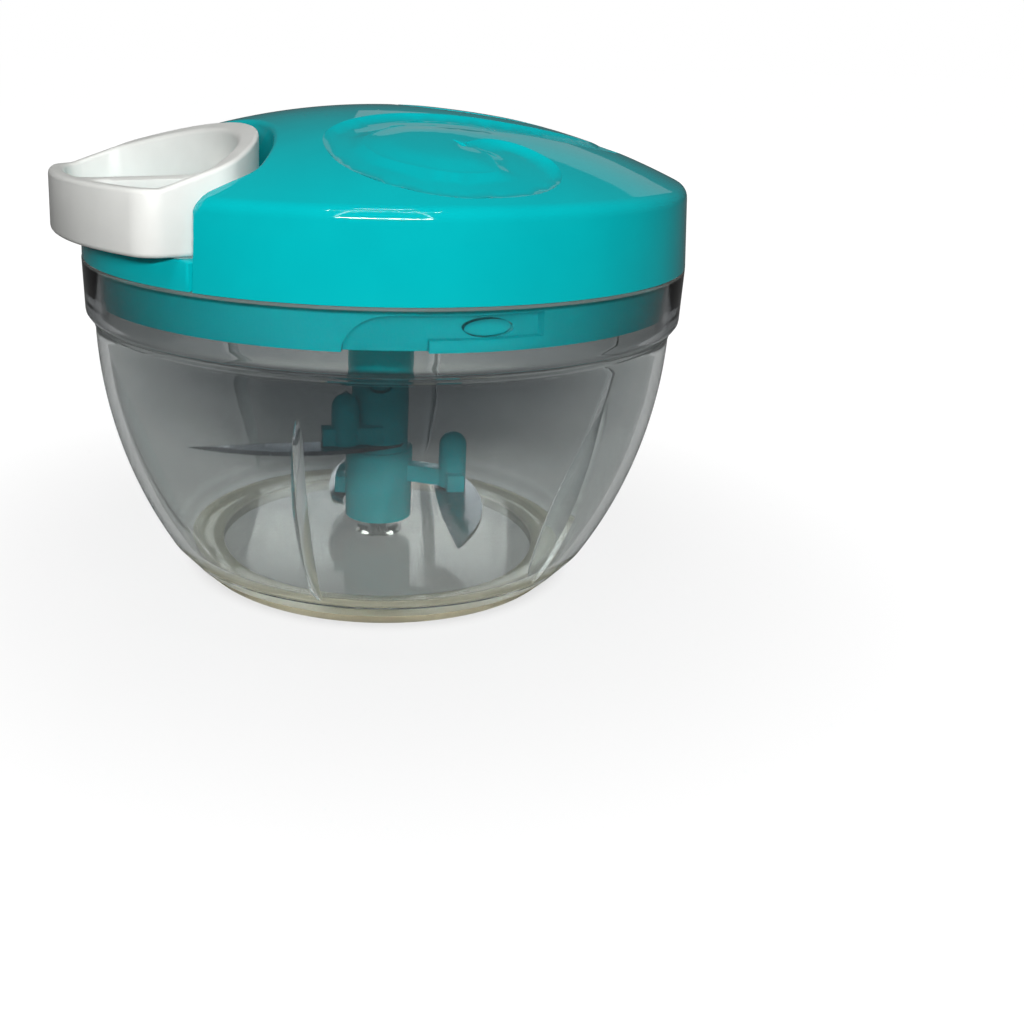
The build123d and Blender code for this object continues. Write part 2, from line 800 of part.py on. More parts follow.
def make_clip():
    """An open ring that snaps into the stem's groove."""
    high = bush_bottom - thrust_washer_thickness - 2 * clip_gap
    low = high - clip_thickness
    ring = tube(clip_radius, stem_radius - clip_groove_depth + running_gap, low, high)
    return ring - Pos(clip_radius, 0, 0) * slab(2 * clip_radius, stem_radius, low - overrun, high + overrun)


# Blade unit

def arm_low(name):
    return hub_bottom + arms[name][2]


def post_place(name):
    angle, reach, _, _ = arms[name]
    return polar(reach, angle)


def on_blade(name, shape):
    """Moves a shape drawn along +X about the post to a blade's place and heading."""
    return Location((*post_place(name), 0), (0, 0, blade_headings[name])) * shape


def make_arm(name):
    """A radial bar, the bar that lies on the blade, and their round-topped post."""
    angle, reach, _, post_height = arms[name]
    low = arm_low(name)
    high = low + arm_height
    crown_centre = low + post_height - arm_post_radius
    bar = Rot(0, 0, angle) * Pos(reach / 2, 0, 0) * slab(reach, arm_width, low, high)
    holder = Pos(holder_length / 2 - holder_tail, 0, 0) * slab(holder_length, arm_width, low, high)
    x, y = post_place(name)
    crown = Pos(x, y, crown_centre) * Sphere(arm_post_radius)
    crown &= column(arm_post_radius, x, y, low, low + post_height)
    post = column(arm_post_radius, x, y, low, crown_centre) + crown
    return bar + on_blade(name, holder) + post


def make_blade_hub():
    hub = disc(hub_lower_radius, hub_bottom, hub_shoulder) + disc(hub_upper_radius, hub_shoulder, hub_top)
    spigot = RegularPolygon(drive_across_flats / 2 - spigot_gap, 6, major_radius=False)
    hub += prism(spigot, hub_top, hub_top + spigot_height)
    for name in arms:
        hub += make_arm(name)
    for name in arms:
        x, y = post_place(name)
        hub -= column(rivet_radius + running_gap, x, y, arm_low(name) - overrun, arm_low(name) + arm_height)
    return hub - disc(pin_radius + running_gap, hub_bottom - overrun, boss_top + pin_rise + slip_gap)


def blade_plan():
    """A sickle, drawn along +X about its rivet, that runs out to a point."""
    heel_share, toe_share = blade_root_shares
    middle = (blade_length - blade_tail) / 2
    tip = (blade_length, -blade_width / 2)
    heel = (-blade_tail, heel_share * blade_width)
    toe = (-blade_tail, toe_share * blade_width)
    back = ThreePointArc(heel, (middle, blade_width / 2), tip)
    edge = ThreePointArc(tip, (middle, -blade_width / 2), toe)
    return make_face(back + edge + Line(toe, heel))


def make_blade(name):
    """A blade under its arm, cut back where it passes the hub."""
    high = arm_low(name)
    low = high - blade_thickness
    hub_radius = hub_lower_radius if low < hub_shoulder else hub_upper_radius
    blade = on_blade(name, prism(blade_plan(), low, high))
    blade -= disc(hub_radius + blade_hub_gap, low - overrun, high + overrun)
    x, y = post_place(name)
    return blade - column(rivet_radius + running_gap, x, y, low - overrun, high + overrun)


def make_rivets():
    """One rivet through each blade into its arm."""
    rivets = []
    for name in arms:
        x, y = post_place(name)
        face = arm_low(name) - blade_thickness
        shank = column(rivet_radius, x, y, face, arm_low(name) + arm_height - slip_gap)
        head = column(rivet_head_radius, x, y, face - rivet_head_height, face)
        rivets.append(shank + head)
    return Compound(children=rivets)


nodes = {
    "bowl": make_bowl(),
    "bowl_pin": make_pin(),
    "anti_slip_ring": make_ring(),
    "lid_cover": make_cover(),
    "medallion": make_medallion(),
    "lid_base": make_lid_base(),
    "lid_screws": make_lid_screws(),
    "cord_eyelet": make_eyelet(),
    "handle": make_handle(),
    "cord_lead": make_cord_lead(),
    "cord_winding": make_winding(),
    "cord_knot": make_knot(),
    "spool": make_spool(),
    "power_spring": make_spring(),
    "spring_cover": make_spring_cover(),
    "spool_washer": make_spool_washer(),
    "spool_screw": make_spool_screw(),
    "pawl_a": make_pawl(0),
    "pawl_b": make_pawl(1),
    "drive_shaft": make_drive_shaft(),
    "shaft_bush": make_bush(),
    "thrust_washer": make_thrust_washer(),
    "shaft_clip": make_clip(),
    "blade_hub": make_blade_hub(),
    "blade_upper": make_blade("blade_upper"),
    "blade_middle": make_blade("blade_middle"),
    "blade_lower": make_blade("blade_lower"),
    "blade_rivets": make_rivets(),
}

for name, solid in nodes.items():
    export_step(solid, f"parts/{name}.step")
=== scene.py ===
from math import asin, atan2, cos, degrees, hypot, pi, radians, sin, sqrt

import bmesh
import bpy
import numpy as np
from mathutils import Matrix, Vector, geometry


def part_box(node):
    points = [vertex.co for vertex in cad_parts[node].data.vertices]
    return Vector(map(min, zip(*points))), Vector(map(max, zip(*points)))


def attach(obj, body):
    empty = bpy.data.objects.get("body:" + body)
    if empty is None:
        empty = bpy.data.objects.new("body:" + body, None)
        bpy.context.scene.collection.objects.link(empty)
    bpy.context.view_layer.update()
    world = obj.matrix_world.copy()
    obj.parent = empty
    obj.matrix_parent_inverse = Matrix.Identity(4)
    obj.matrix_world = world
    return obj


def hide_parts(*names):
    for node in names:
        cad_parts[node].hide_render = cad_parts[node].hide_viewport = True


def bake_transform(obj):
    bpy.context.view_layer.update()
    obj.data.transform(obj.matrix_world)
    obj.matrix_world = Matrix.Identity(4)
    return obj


# Looks of the pull-cord chopper. Sizes are in millimetres, and become metres where a mesh is made.
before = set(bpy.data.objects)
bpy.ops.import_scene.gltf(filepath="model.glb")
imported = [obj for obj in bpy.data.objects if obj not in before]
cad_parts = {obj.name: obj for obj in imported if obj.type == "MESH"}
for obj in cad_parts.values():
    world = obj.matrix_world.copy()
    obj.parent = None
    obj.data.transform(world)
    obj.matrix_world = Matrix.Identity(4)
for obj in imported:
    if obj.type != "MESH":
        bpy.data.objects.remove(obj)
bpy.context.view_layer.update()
MM = 0.001
line_step = 0.8             # between the points of an outline
weld = 0.002                # points closer than this are one
points_at_once = 2000       # whose distances are taken in one step


def cad(node, corner, axis):
    """One coordinate of a CAD node's box, in millimetres: corner 0 is the lowest, 1 the highest."""
    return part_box(node)[corner][axis] / MM


X, Y, Z = 0, 1, 2
rim = cad("bowl", 1, Z)
bowl_radius = cad("bowl", 1, X)
lid_top = cad("lid_cover", 1, Z)

# Lid cover
lid_draft = 0.7
lid_radius = bowl_radius - lid_draft
dome_rise = 14.7            # edge of the dome to its top
shoulder_round = 3.0
lid_wall = 2.2
lid_bore = bowl_radius - lid_wall - lid_draft
dome_radius = (lid_radius ** 2 + dome_rise ** 2) / (2 * dome_rise)
dome_centre = lid_top - dome_radius
shoulder_centre = lid_radius - shoulder_round
shoulder_height = dome_centre + sqrt((dome_radius - shoulder_round) ** 2 - shoulder_centre ** 2)
shoulder_start = shoulder_centre * dome_radius / (dome_radius - shoulder_round)

# Pocket for the handle
pocket_half = 29.0
pocket_arc = 39.0
pocket_apex = 29.3
pocket_corner = 6.0
pocket_floor = rim + 5.4
pocket_wall = 1.8
pocket_centre = -(pocket_apex + pocket_arc)
pocket_edge_round = 0.9
prow_round = 1.0            # upright edges where the pocket meets the side
prow_fall = 4.0             # the prow's corner curves down into the dome
ledge_step = 0.10           # the ledge stands back from the side
ledge_overlap = 0.8         # and reaches into the lid
ledge_round = 0.5

# Ornament, as shares of the bowl's radius
relief_depth = 1.05
crisp_wall = 0.7            # width of the relief's outer wall in plan
soft_wall = 1.4             # width of the wall round the curl's raised middle
pillow_width = 5.0          # of that middle's rounded border
pillow_share = 0.38         # of the depth, taken up by it
scroll_outer_shares = (
    (0.700, -0.255), (0.588, -0.334), (0.455, -0.381), (0.328, -0.380), (0.210, -0.351),
    (0.043, -0.285), (-0.137, -0.246), (-0.308, -0.280), (-0.430, -0.390), (-0.478, -0.575),
    (-0.425, -0.750), (-0.282, -0.883), (-0.080, -0.919), (0.066, -0.866), (0.134, -0.745),
    (0.100, -0.620), (0.020, -0.572), (-0.067, -0.593),
)
scroll_hook_shares = ((-0.067, -0.593), (-0.045, -0.672), (-0.075, -0.780))
scroll_inner_shares = (
    (-0.075, -0.780), (-0.160, -0.777), (-0.260, -0.727), (-0.350, -0.600), (-0.335, -0.455),
    (-0.200, -0.393), (-0.092, -0.406), (0.020, -0.447), (0.121, -0.493), (0.236, -0.531),
    (0.345, -0.549), (0.460, -0.539), (0.568, -0.498), (0.655, -0.428), (0.705, -0.330),
    (0.700, -0.255),
)
grain_start_share = 0.02    # along X, where the sunk band's grain begins
grain_full_share = 0.22
oval_centre = 23.5
moat_outer = (21.4, 17.2)
moat_inner = (18.9, 14.6)
oval_seat = (15.6, 11.2)
oval_plate = (15.3, 10.9)
oval_stand = -0.25          # the oval lies a little below the dome
oval_seat_depth = 0.9
oval_seat_wall = 0.25
oval_round = 0.6
wall_steps = (0.0, 0.08, 0.2, 0.35, 0.5, 0.65, 0.8, 0.92, 1.0)     # shares of a wall's width

# Tracks in the lid base
track_gap = 0.7             # skirt to the bore of the collar
track_depth = 2.0
track_roof_drop = 2.0
way_in_start = -126.05      # degrees, the first lug's way in
way_in_arch = 8.0

# Handle
handle_low = cad("handle", 0, Z)
handle_high = cad("handle", 1, Z)
handle_face = cad("handle", 0, X)
handle_apex = cad("handle", 1, X)
handle_half = cad("handle", 1, Y)
handle_face_arc = 64.9
handle_arc = 35.0
handle_outer_corner = 6.0
handle_inner_corner = 7.0
handle_bar = 4.0
handle_front = 3.0
handle_side = 2.3
window_outer_corner = 5.5
window_inner_corner = 5.5
handle_low_height = 11.7
handle_flat_share = 0.26
handle_climb = 1.08
handle_edge_round = 0.9
spoke_half = 2.25
spoke_drop = 0.6
spoke_height = 6.5
spoke_flare = 4.0
spoke_round = 0.9
spoke_foot_round = 0.5
knot_hub_radius = 5.0
knot_hub_inset = 2.6
knot_hub_lift = 0.8

# Bowl
wall = 2.0
foot = (39.8, 0.0)
ring_top = cad("anti_slip_ring", 1, Z)
ring_width = 5.2
ring_grip = 0.4             # the ring is moulded this far into the bowl's foot
knee = (46.4, 7.3)
flank_mid_share = (0.59, 0.364)
collar_height = 11.0
collar_draft = 0.4
collar_step = 1.9
collar_step_rise = 3.0
underside = 2.2
floor_top = 4.2
floor_round = 11.0
boss_radius = 4.6
boss_top = 5.7
rim_round = 0.5
lip_height = 0.7            # of the rim's painted pale highlight line, in the smoky tint
lip_shadow_height = 1.2     # and down to here the tint paints a shadow band
lip_haze = 0.35             # share of that painted highlight line that isn't clear
fin_count = 6
fin_thickness = 1.8
fin_depth = 8.6
fin_swirl = 40.0
fin_first_angle = -133.1
fin_top = rim - 20.0
fin_section_shares = (      # along the fin's depth, and to either side of its middle
    (0.0, 1.0), (0.75, 0.7), (0.95, 0.35), (1.0, 0.0), (0.95, -0.35), (0.75, -0.7), (0.0, -1.0),
)
lug_count = 3
lug_angle = -102.35
lug_size = (8.9, 3.2)
lug_drop = 4.1
lug_depth = 2.0
smoke_and_shade_bands = (             # share of the bowl's height, and the wall's smoky tint there with painted shade, darkest high up
    (0.0, "#CACCC7"), (0.30, "#C6C9C6"), (0.50, "#A6AAAB"), (0.66, "#676B6E"), (0.80, "#595D60"),
)

# Blades
blade_thickness = 1.0
blade_length = 33.0         # rivet to tip
blade_tail = 12.0           # rivet to root
blade_width = 9.0
blade_root_shares = (0.15, -0.25)
blade_grind = 3.2           # width of the ground edge
blade_edge_thickness = 0.15
blades = {                  # angle and reach of the rivet, heading of the blade, radius that it clears
    "blade_upper": (-162.7, 10.8, -197.6, 6.9),
    "blade_middle": (-48.6, 16.9, -112.7, 8.0),
    "blade_lower": (-264.6, 12.0, -308.0, 8.0),
}

# Cord
cord_radius = 0.9
cord_bend = 1.6             # from the pocket's wall to the bend's ends
cord_inset = 0.6            # the cord's end lies this far inside its CAD box


# Camera and light

camera_place = (-125.49, -220.89, 105.99)
camera_heading = 29.6       # degrees from +Y towards +X
camera_pitch = 13.93        # degrees below the horizon
camera_roll = 1.2025        # degrees, the picture's right side hangs lower
camera_lens = 42.24
camera_shift = (0.1279, -0.1484)
world_light = 0.02
gloss_share = 0.06          # of the white background, as gloss shows it: the real room was dark
floor_reach = 30.0          # metres
floor_near = 0.05           # metres from the axis, where the floor starts to turn plain white
floor_far = 0.16
floor_glow = 0.84           # of the floor, close to the object
floor_painted_shadow = 0.68           # of that, under the object: a painted shadow
lamps = {                   # heading, height, distance, size, power
    "key_low": (0, 19, 0.6, (0.33, 0.027), 2.65),
    "key_high": (0, 62, 1.0, (0.56, 0.014), 2.2),
    "key_right": (-17, 40, 1.0, (0.014, 0.70), 0.5),
    "key_left": (17, 40, 1.0, (0.014, 0.70), 0.5),
    "ceiling": (0, 80, 1.0, (0.22, 0.03), 0.9),
    "sheen": (194, 23, 1.5, (0.84, 0.36), 0.26),
    "back": (180, 14, 1.5, (0.40, 0.50), 9.0),
}


def make_camera():
    """The photograph's camera, as fitted to the outlines of bowl, lid and handle."""
    heading, pitch, roll = radians(camera_heading), radians(camera_pitch), radians(camera_roll)
    level = Vector((sin(heading), cos(heading), 0))
    up = Vector((0, 0, 1))
    forward = level * cos(pitch) - up * sin(pitch)
    over = level * sin(pitch) + up * cos(pitch)
    right = forward.cross(over)
    rolled_right = right * cos(roll) + over * sin(roll)
    rolled_over = over * cos(roll) - right * sin(roll)
    data = bpy.data.cameras.new("camera")
    data.lens = camera_lens
    data.sensor_width = 36.0
    data.shift_x, data.shift_y = camera_shift
    data.clip_start = 0.01
    camera = bpy.data.objects.new("camera", data)
    turn = Matrix((rolled_right, rolled_over, -forward)).transposed().to_4x4()
    camera.matrix_world = Matrix.Translation(Vector(camera_place) * MM) @ turn
    bpy.context.scene.collection.objects.link(camera)
    bpy.context.scene.camera = camera


def make_lamp(name, heading, height, distance, size, power):
    """A soft box that faces the object. Heading and height are degrees as seen from the object, where
    heading is counted from the camera's side towards its left; distance and size are metres."""
    turn = radians(camera_heading + heading)
    reach, rise = distance * cos(radians(height)), distance * sin(radians(height))
    middle = Vector((0, 0, lid_top * MM / 2))
    place = middle + Vector((-sin(turn) * reach, -cos(turn) * reach, rise))
    data = bpy.data.lights.new(name, "AREA")
    data.shape = "RECTANGLE"
    data.size, data.size_y = size
    data.energy = power
    lamp = bpy.data.objects.new(name, data)
    lamp.visible_glossy = heading != 180     # the rear lamp fills, and isn't mirrored
    facing = (middle - place).to_track_quat("-Z", "Y").to_matrix().to_4x4()
    lamp.matrix_world = Matrix.Translation(place) @ facing
    bpy.context.scene.collection.objects.link(lamp)


def seen_ray(tree):
    """One for rays that see the background, straight or through clear plastic, and less in gloss."""
    path = node(tree, "ShaderNodeLightPath").outputs
    plain = combined(tree, "MAXIMUM", path["Is Camera Ray"], path["Is Transmission Ray"])
    return combined(tree, "MAXIMUM", plain, combined(tree, "MULTIPLY", path["Is Glossy Ray"], gloss_share))


def make_world():
    """White as a background, and a dim grey as light."""
    world = bpy.data.worlds.new("studio")
    bpy.context.scene.world = world
    world.use_nodes = True
    tree = world.node_tree
    tree.nodes.clear()
    light = node(tree, "ShaderNodeBackground", {"Color": linear("#FFFFFF"), "Strength": world_light})
    white = node(tree, "ShaderNodeBackground", {"Color": linear("#FFFFFF"), "Strength": 1.0})
    mix = node(tree, "ShaderNodeMixShader", {0: seen_ray(tree), 1: light.outputs[0], 2: white.outputs[0]})
    node(tree, "ShaderNodeOutputWorld", {"Surface": mix.outputs[0]})


def make_floor():
    """A wide pale floor, which the object stands on and shades."""
    mesh = bmesh.new()
    bmesh.ops.create_grid(mesh, x_segments=1, y_segments=1, size=floor_reach)
    floor = finished("floor", mesh, paper_white())


# Materials

def linear(hex_colour):
    """An sRGB hex colour as linear red, green, blue and alpha."""
    values = [int(hex_colour[i:i + 2], 16) / 255 for i in (1, 3, 5)]
    return [v / 12.92 if v <= 0.04045 else ((v + 0.055) / 1.055) ** 2.4 for v in values] + [1.0]


def node(tree, kind, inputs=None, **settings):
    """Adds a node with its settings; an input is a value or another node's output."""
    made = tree.nodes.new(kind)
    for name, value in settings.items():
        setattr(made, name, value)
    for name, value in (inputs or {}).items():
        if isinstance(value, bpy.types.NodeSocket):
            tree.links.new(value, made.inputs[name])
        else:
            made.inputs[name].default_value = value
    return made


def blank(name):
    """A new material with its tree emptied."""
    material = bpy.data.materials.new(name)
    material.use_nodes = True
    material.node_tree.nodes.clear()
    return material, material.node_tree


def finish_surface(tree, inputs):
    shader = node(tree, "ShaderNodeBsdfPrincipled", inputs)
    node(tree, "ShaderNodeOutputMaterial", {"Surface": shader.outputs[0]})
    return shader


def per_mm(millimetres):
    """Texture scale that gives features of this size, for coordinates in metres."""
    return 1 / (millimetres * MM)


def place_on(tree):
    return node(tree, "ShaderNodeTexCoord").outputs["Object"]


def combined(tree, operation, *values):
    return node(tree, "ShaderNodeMath", dict(enumerate(values)), operation=operation).outputs[0]


def mapped(tree, value, start, end, low=0.0, high=1.0, **settings):
    """A value spread from one range to another."""
    return node(tree, "ShaderNodeMapRange", {
        "Value": value, "From Min": start, "From Max": end, "To Min": low, "To Max": high,
    }, **settings).outputs[0]


def mixed(tree, amount, first, second):
    """A colour between two; each is a hex colour or another node's output."""
    first = linear(first) if isinstance(first, str) else first
    mix = node(tree, "ShaderNodeMix", {0: amount, 6: first}, data_type="RGBA")
    mix.inputs[7].default_value = linear(second)
    return mix.outputs[2]


def varied(tree, low, high, size_mm, detail=3.0):
    """A value that drifts between low and high over the surface."""
    noise = node(tree, "ShaderNodeTexNoise", {
        "Vector": place_on(tree), "Scale": per_mm(size_mm), "Detail": detail,
    })
    return mapped(tree, noise.outputs["Fac"], 0.3, 0.7, low, high)


def tinted(tree, first, second, size_mm):
    """A colour that drifts between two close hex colours."""
    return mixed(tree, varied(tree, 0.0, 1.0, size_mm), first, second)


def bump(tree, height, distance_mm, strength):
    made = node(tree, "ShaderNodeBump", {
        "Height": height, "Strength": strength, "Distance": distance_mm * MM,
    })
    return made.outputs[0]


def even_skin(name, colours, colour_mm, rough, skin, inputs):
    """A surface of two close colours whose gloss drifts, under a fine skin. Rough is the lowest and the
    highest roughness, then the drift's size and detail; skin is its size, depth and strength."""
    material, tree = blank(name)
    finish_surface(tree, {
        "Base Color": tinted(tree, *colours, colour_mm),
        "Roughness": varied(tree, *rough),
        "Normal": bump(tree, varied(tree, 0.0, 1.0, skin[0], 2.0), *skin[1:]),
        **inputs,
    })
    return material


def moulded_abs_teal():
    """Glossy injection-moulded ABS in teal: a clear sheen with the faint ripple of a polished mould.
    Where the mesh has grain, the mould was spark-eroded: a dull fine grit of about 0.45 mm, drawn a
    little coarser than the real 0.2 mm so that it shows."""
    material, tree = blank("moulded_abs_teal")
    grain = node(tree, "ShaderNodeAttribute", attribute_name="grain").outputs["Fac"]
    ripple = varied(tree, 0.0, 1.0, 5.0, 1.0)
    grit = node(tree, "ShaderNodeTexNoise", {
        "Vector": place_on(tree), "Scale": per_mm(0.45), "Detail": 2.0,
    }).outputs["Fac"]
    gritty = node(tree, "ShaderNodeBump", {
        "Height": combined(tree, "MULTIPLY", grit, grain), "Strength": 0.9, "Distance": 0.12 * MM,
        "Normal": bump(tree, ripple, 0.02, 0.35),
    }).outputs[0]
    finish_surface(tree, {
        "Base Color": tinted(tree, "#00B8BE", "#00B1B8", 18.0),
        "Roughness": mapped(tree, grain, 0.0, 1.0, 0.04, 0.38),
        "IOR": 1.34,
        "Normal": gritty,
    })
    return material


def moulded_abs_white():
    """White ABS from a satin mould, with soft scuffs where fingers and the lid rub it."""
    colours, scuffs, skin = ("#F1F2EE", "#EAEBE7"), (0.30, 0.44, 6.0, 6.0), (1.2, 0.015, 0.3)
    return even_skin("moulded_abs_white", colours, 9.0, scuffs, skin, {
        "IOR": 1.54, "Subsurface Weight": 0.08, "Subsurface Radius": (0.002, 0.002, 0.002),
    })


def moulded_san_smoke():
    """Clear styrene acrylonitrile with a smoky cast: sharp reflections and a trace of haze. Painted
    shade darkens the tint in bands up the wall, darkest under the collar; a painted sheen makes it
    paler where the wall is seen on the slant, and it is clear in the ribs. The collar carries painted
    shade where it is seen along its length, and a painted shadow band under a painted pale highlight
    line at the lip. Lamps shine through it."""
    material, tree = blank("moulded_san_smoke")
    place = node(tree, "ShaderNodeSeparateXYZ", {0: place_on(tree)}).outputs["Z"]
    height = combined(tree, "ADD", place, varied(tree, -3 * MM, 3 * MM, 24.0))
    # painted shade: the smoky tint darkens in bands up the wall, most under the collar
    bands = node(tree, "ShaderNodeValToRGB", {"Fac": combined(tree, "DIVIDE", height, rim * MM)})
    ramp = bands.color_ramp
    ramp.interpolation = "EASE"
    ramp.elements[0].position, ramp.elements[0].color = smoke_and_shade_bands[0][0], linear(smoke_and_shade_bands[0][1])
    ramp.elements[1].position, ramp.elements[1].color = smoke_and_shade_bands[-1][0], linear(smoke_and_shade_bands[-1][1])
    for position, colour in smoke_and_shade_bands[1:-1]:
        ramp.elements.new(position).color = linear(colour)

    def above(level, blur=0.3):
        """One where the wall is higher than a level in millimetres."""
        return mapped(tree, place, (level - blur) * MM, (level + blur) * MM)

    facing = node(tree, "ShaderNodeLayerWeight", {"Blend": 0.5}).outputs["Facing"]
    rib = node(tree, "ShaderNodeAttribute", attribute_name="rib").outputs["Fac"]
    collar, lip = above(rim - collar_height - 0.4), above(rim - lip_height, 0.1)
    # painted shade: the collar darkens where it is seen along its length
    edge = combined(tree, "MULTIPLY", mapped(tree, facing, 0.06, 0.75), collar)
    shade = bands.outputs["Color"]
    # painted sheen paler on the slant, clear ribs, a paler collar, painted shade on the collar's slant, then
    # a painted shadow band and a painted pale highlight line at the lip
    for amount, tint in (
        (mapped(tree, facing, 0.10, 0.60), "#BFC2C1"), (rib, "#EEF1F0"), (collar, "#BFC3C3"),
        (edge, "#3C3E40"), (above(rim - lip_shadow_height, 0.2), "#5A5C59"), (lip, "#A4A9A5"),
    ):
        shade = mixed(tree, amount, shade, tint)
    clear_wall = mapped(tree, collar, 0.0, 1.0, 0.90, 0.995)
    plastic = node(tree, "ShaderNodeBsdfPrincipled", {
        "Base Color": shade,
        "Roughness": 0.03,
        "IOR": 1.16,
        "Transmission Weight": combined(tree, "MULTIPLY_ADD", lip, -lip_haze, clear_wall),
        "Normal": bump(tree, varied(tree, 0.0, 1.0, 14.0, 1.0), 0.05, 0.25),
    })
    clear = node(tree, "ShaderNodeBsdfTransparent", {"Color": linear("#E4E7E7")})
    shadow = node(tree, "ShaderNodeLightPath").outputs["Is Shadow Ray"]
    mix = node(tree, "ShaderNodeMixShader", {0: shadow, 1: plastic.outputs[0], 2: clear.outputs[0]})
    node(tree, "ShaderNodeOutputMaterial", {"Surface": mix.outputs[0]})
    return material


def moulded_tpr_beige():
    """Soft thermoplastic rubber, milky beige, with a dull skin."""
    colours, gloss, skin = ("#F4EBCF", "#ECE1C2"), (0.42, 0.58, 3.0), (0.5, 0.03, 0.4)
    return even_skin("moulded_tpr_beige", colours, 7.0, gloss, skin, {"IOR": 1.4, "Transmission Weight": 0.6})


def ground_stainless():
    """Stainless blade strip: fine grinding lines across the blade and small dull rub marks."""
    material, tree = blank("ground_stainless")
    stretch = node(tree, "ShaderNodeMapping", {"Vector": place_on(tree), "Scale": (8.0, 0.6, 0.6)})
    lines = node(tree, "ShaderNodeTexNoise", {
        "Vector": stretch.outputs[0], "Detail": 4.0, "Scale": per_mm(2.0),
    }).outputs["Fac"]
    finish_surface(tree, {
        "Base Color": linear("#7E8286"),
        "Metallic": 1.0,
        "Roughness": mapped(tree, lines, 0.0, 1.0, 0.22, 0.30),
        "Normal": bump(tree, lines, 0.002, 0.08),
    })
    return material


def plated_steel(name, first, second, low, high):
    """Plated or blued steel: an even metal skin with a slight cloud in its gloss."""
    return even_skin(name, (first, second), 3.0, (low, high, 1.5), (0.6, 0.01, 0.3), {"Metallic": 1.0})


def moulded_acetal():
    """Natural acetal: off-white, waxy, half dull, with faint flow marks."""
    colours, gloss, skin = ("#E4E3DC", "#DAD9D1"), (0.34, 0.46, 4.0), (0.8, 0.02, 0.3)
    return even_skin("moulded_acetal", colours, 8.0, gloss, skin, {"IOR": 1.48})


def braided_polyester():
    """Braided cord: two sets of fine strands that cross on the slant, 0.7 mm apart."""
    material, tree = blank("braided_polyester")
    heights = []
    for slant in (0.7, -0.7):
        turned = node(tree, "ShaderNodeMapping", {"Vector": place_on(tree), "Rotation": (0, slant, slant)})
        wave = node(tree, "ShaderNodeTexWave", {
            "Vector": turned.outputs[0], "Scale": per_mm(0.7) / 20, "Distortion": 0.4,
        })
        heights.append(wave.outputs["Fac"])
    crossed = combined(tree, "MAXIMUM", *heights)
    finish_surface(tree, {
        "Base Color": mixed(tree, crossed, "#C9C7C0", "#EDEBE5"),
        "Roughness": 0.8,
        "Normal": bump(tree, crossed, 0.15, 0.8),
    })
    return material


def paper_white():
    """Seamless background paper: plain, pale and dull. It carries a painted shadow under the object, shows
    the object's shadow close by, and turns to an even white further out."""
    material, tree = blank("paper_white")
    lit = node(tree, "ShaderNodeBsdfDiffuse", {"Color": linear("#565656")})
    apart = node(tree, "ShaderNodeVectorMath", {0: place_on(tree)}, operation="LENGTH").outputs["Value"]
    strength = seen_ray(tree)
    # the second step paints a shadow under the object's foot
    for start, end, low in (
        (floor_near, floor_far, floor_glow), (0.9 * foot[0] * MM, 1.1 * foot[0] * MM, floor_painted_shadow),
    ):
        share = mapped(tree, apart, start, end, low, interpolation_type="SMOOTHSTEP")
        strength = combined(tree, "MULTIPLY", strength, share)
    white = node(tree, "ShaderNodeEmission", {"Color": linear("#FFFFFF"), "Strength": strength})
    both = node(tree, "ShaderNodeAddShader", {0: lit.outputs[0], 1: white.outputs[0]})
    node(tree, "ShaderNodeOutputMaterial", {"Surface": both.outputs[0]})
    return material


# Meshes

def finished(name, mesh, material, sharp=32.0):
    """Makes the object from a bmesh in metres, smooth but for edges sharper than the angle."""
    data = bpy.data.meshes.new(name)
    mesh.to_mesh(data)
    mesh.free()
    data.shade_smooth()
    data.set_sharp_from_angle(angle=radians(sharp))
    data.materials.append(material)
    made = bpy.data.objects.new(name, data)
    bpy.context.scene.collection.objects.link(made)
    return made


def to_metres(mesh):
    bmesh.ops.scale(mesh, vec=(MM, MM, MM), verts=mesh.verts[:])


def in_metres(name, mesh, material, sharp=32.0):
    """Makes the object from a bmesh in millimetres."""
    to_metres(mesh)
    return finished(name, mesh, material, sharp)


def level(height):
    """A flat surface, for moulding()."""
    return lambda points: np.full(len(points), height)


def add_body(mesh, body):
    """Adds a closed body to a mesh, and frees it."""
    carrier = bpy.data.meshes.new("carrier")
    body.to_mesh(carrier)
    body.free()
    mesh.from_mesh(carrier)
    bpy.data.meshes.remove(carrier)


def fit(piece, body, slot, *nodes):
    """Lets a piece ride on a body and hides the CAD nodes that it stands for.
    The slot argument is not used.
    """
    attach(piece, body)
    if nodes:
        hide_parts(*nodes)
    return piece


def arc(centre, radius, start, end, step=line_step):
    """Points on an arc between two angles in degrees, about a step apart."""
    count = max(2, int(abs(radians(end - start)) * radius / step) + 2)
    turns = np.radians(np.linspace(start, end, count))
    return np.stack([centre[0] + radius * np.cos(turns), centre[1] + radius * np.sin(turns)], axis=1)


def ellipse(centre_x, half_length, half_width):
    count = int(pi * (half_length + half_width) / line_step)
    turns = np.linspace(0, 2 * pi, count, endpoint=False)
    return np.stack([centre_x + half_length * np.cos(turns), half_width * np.sin(turns)], axis=1)


def joined(*stretches):
    """One outline from its stretches, without doubled points."""
    points = np.concatenate([np.asarray(s, float) for s in stretches])
    apart = np.hypot(*(points - np.roll(points, 1, axis=0)).T) > 0.02
    return points[apart]


def smooth_line(shares):
    """A smooth line through points given as shares of the bowl's radius."""
    knots = np.array(shares) * bowl_radius
    padded = np.concatenate([[2 * knots[0] - knots[1]], knots, [2 * knots[-1] - knots[-2]]])
    points = []
    for before, start, end, after in zip(padded, padded[1:], padded[2:], padded[3:]):
        count = max(2, int(np.hypot(*(end - start)) / line_step))
        t = np.linspace(0, 1, count, endpoint=False)[:, None]
        points.append(0.5 * (
            2 * start + (end - before) * t + (2 * before - 5 * start + 4 * end - after) * t ** 2
            + (3 * start - before - 3 * end + after) * t ** 3
        ))
    return np.concatenate(points + [knots[-1:]])


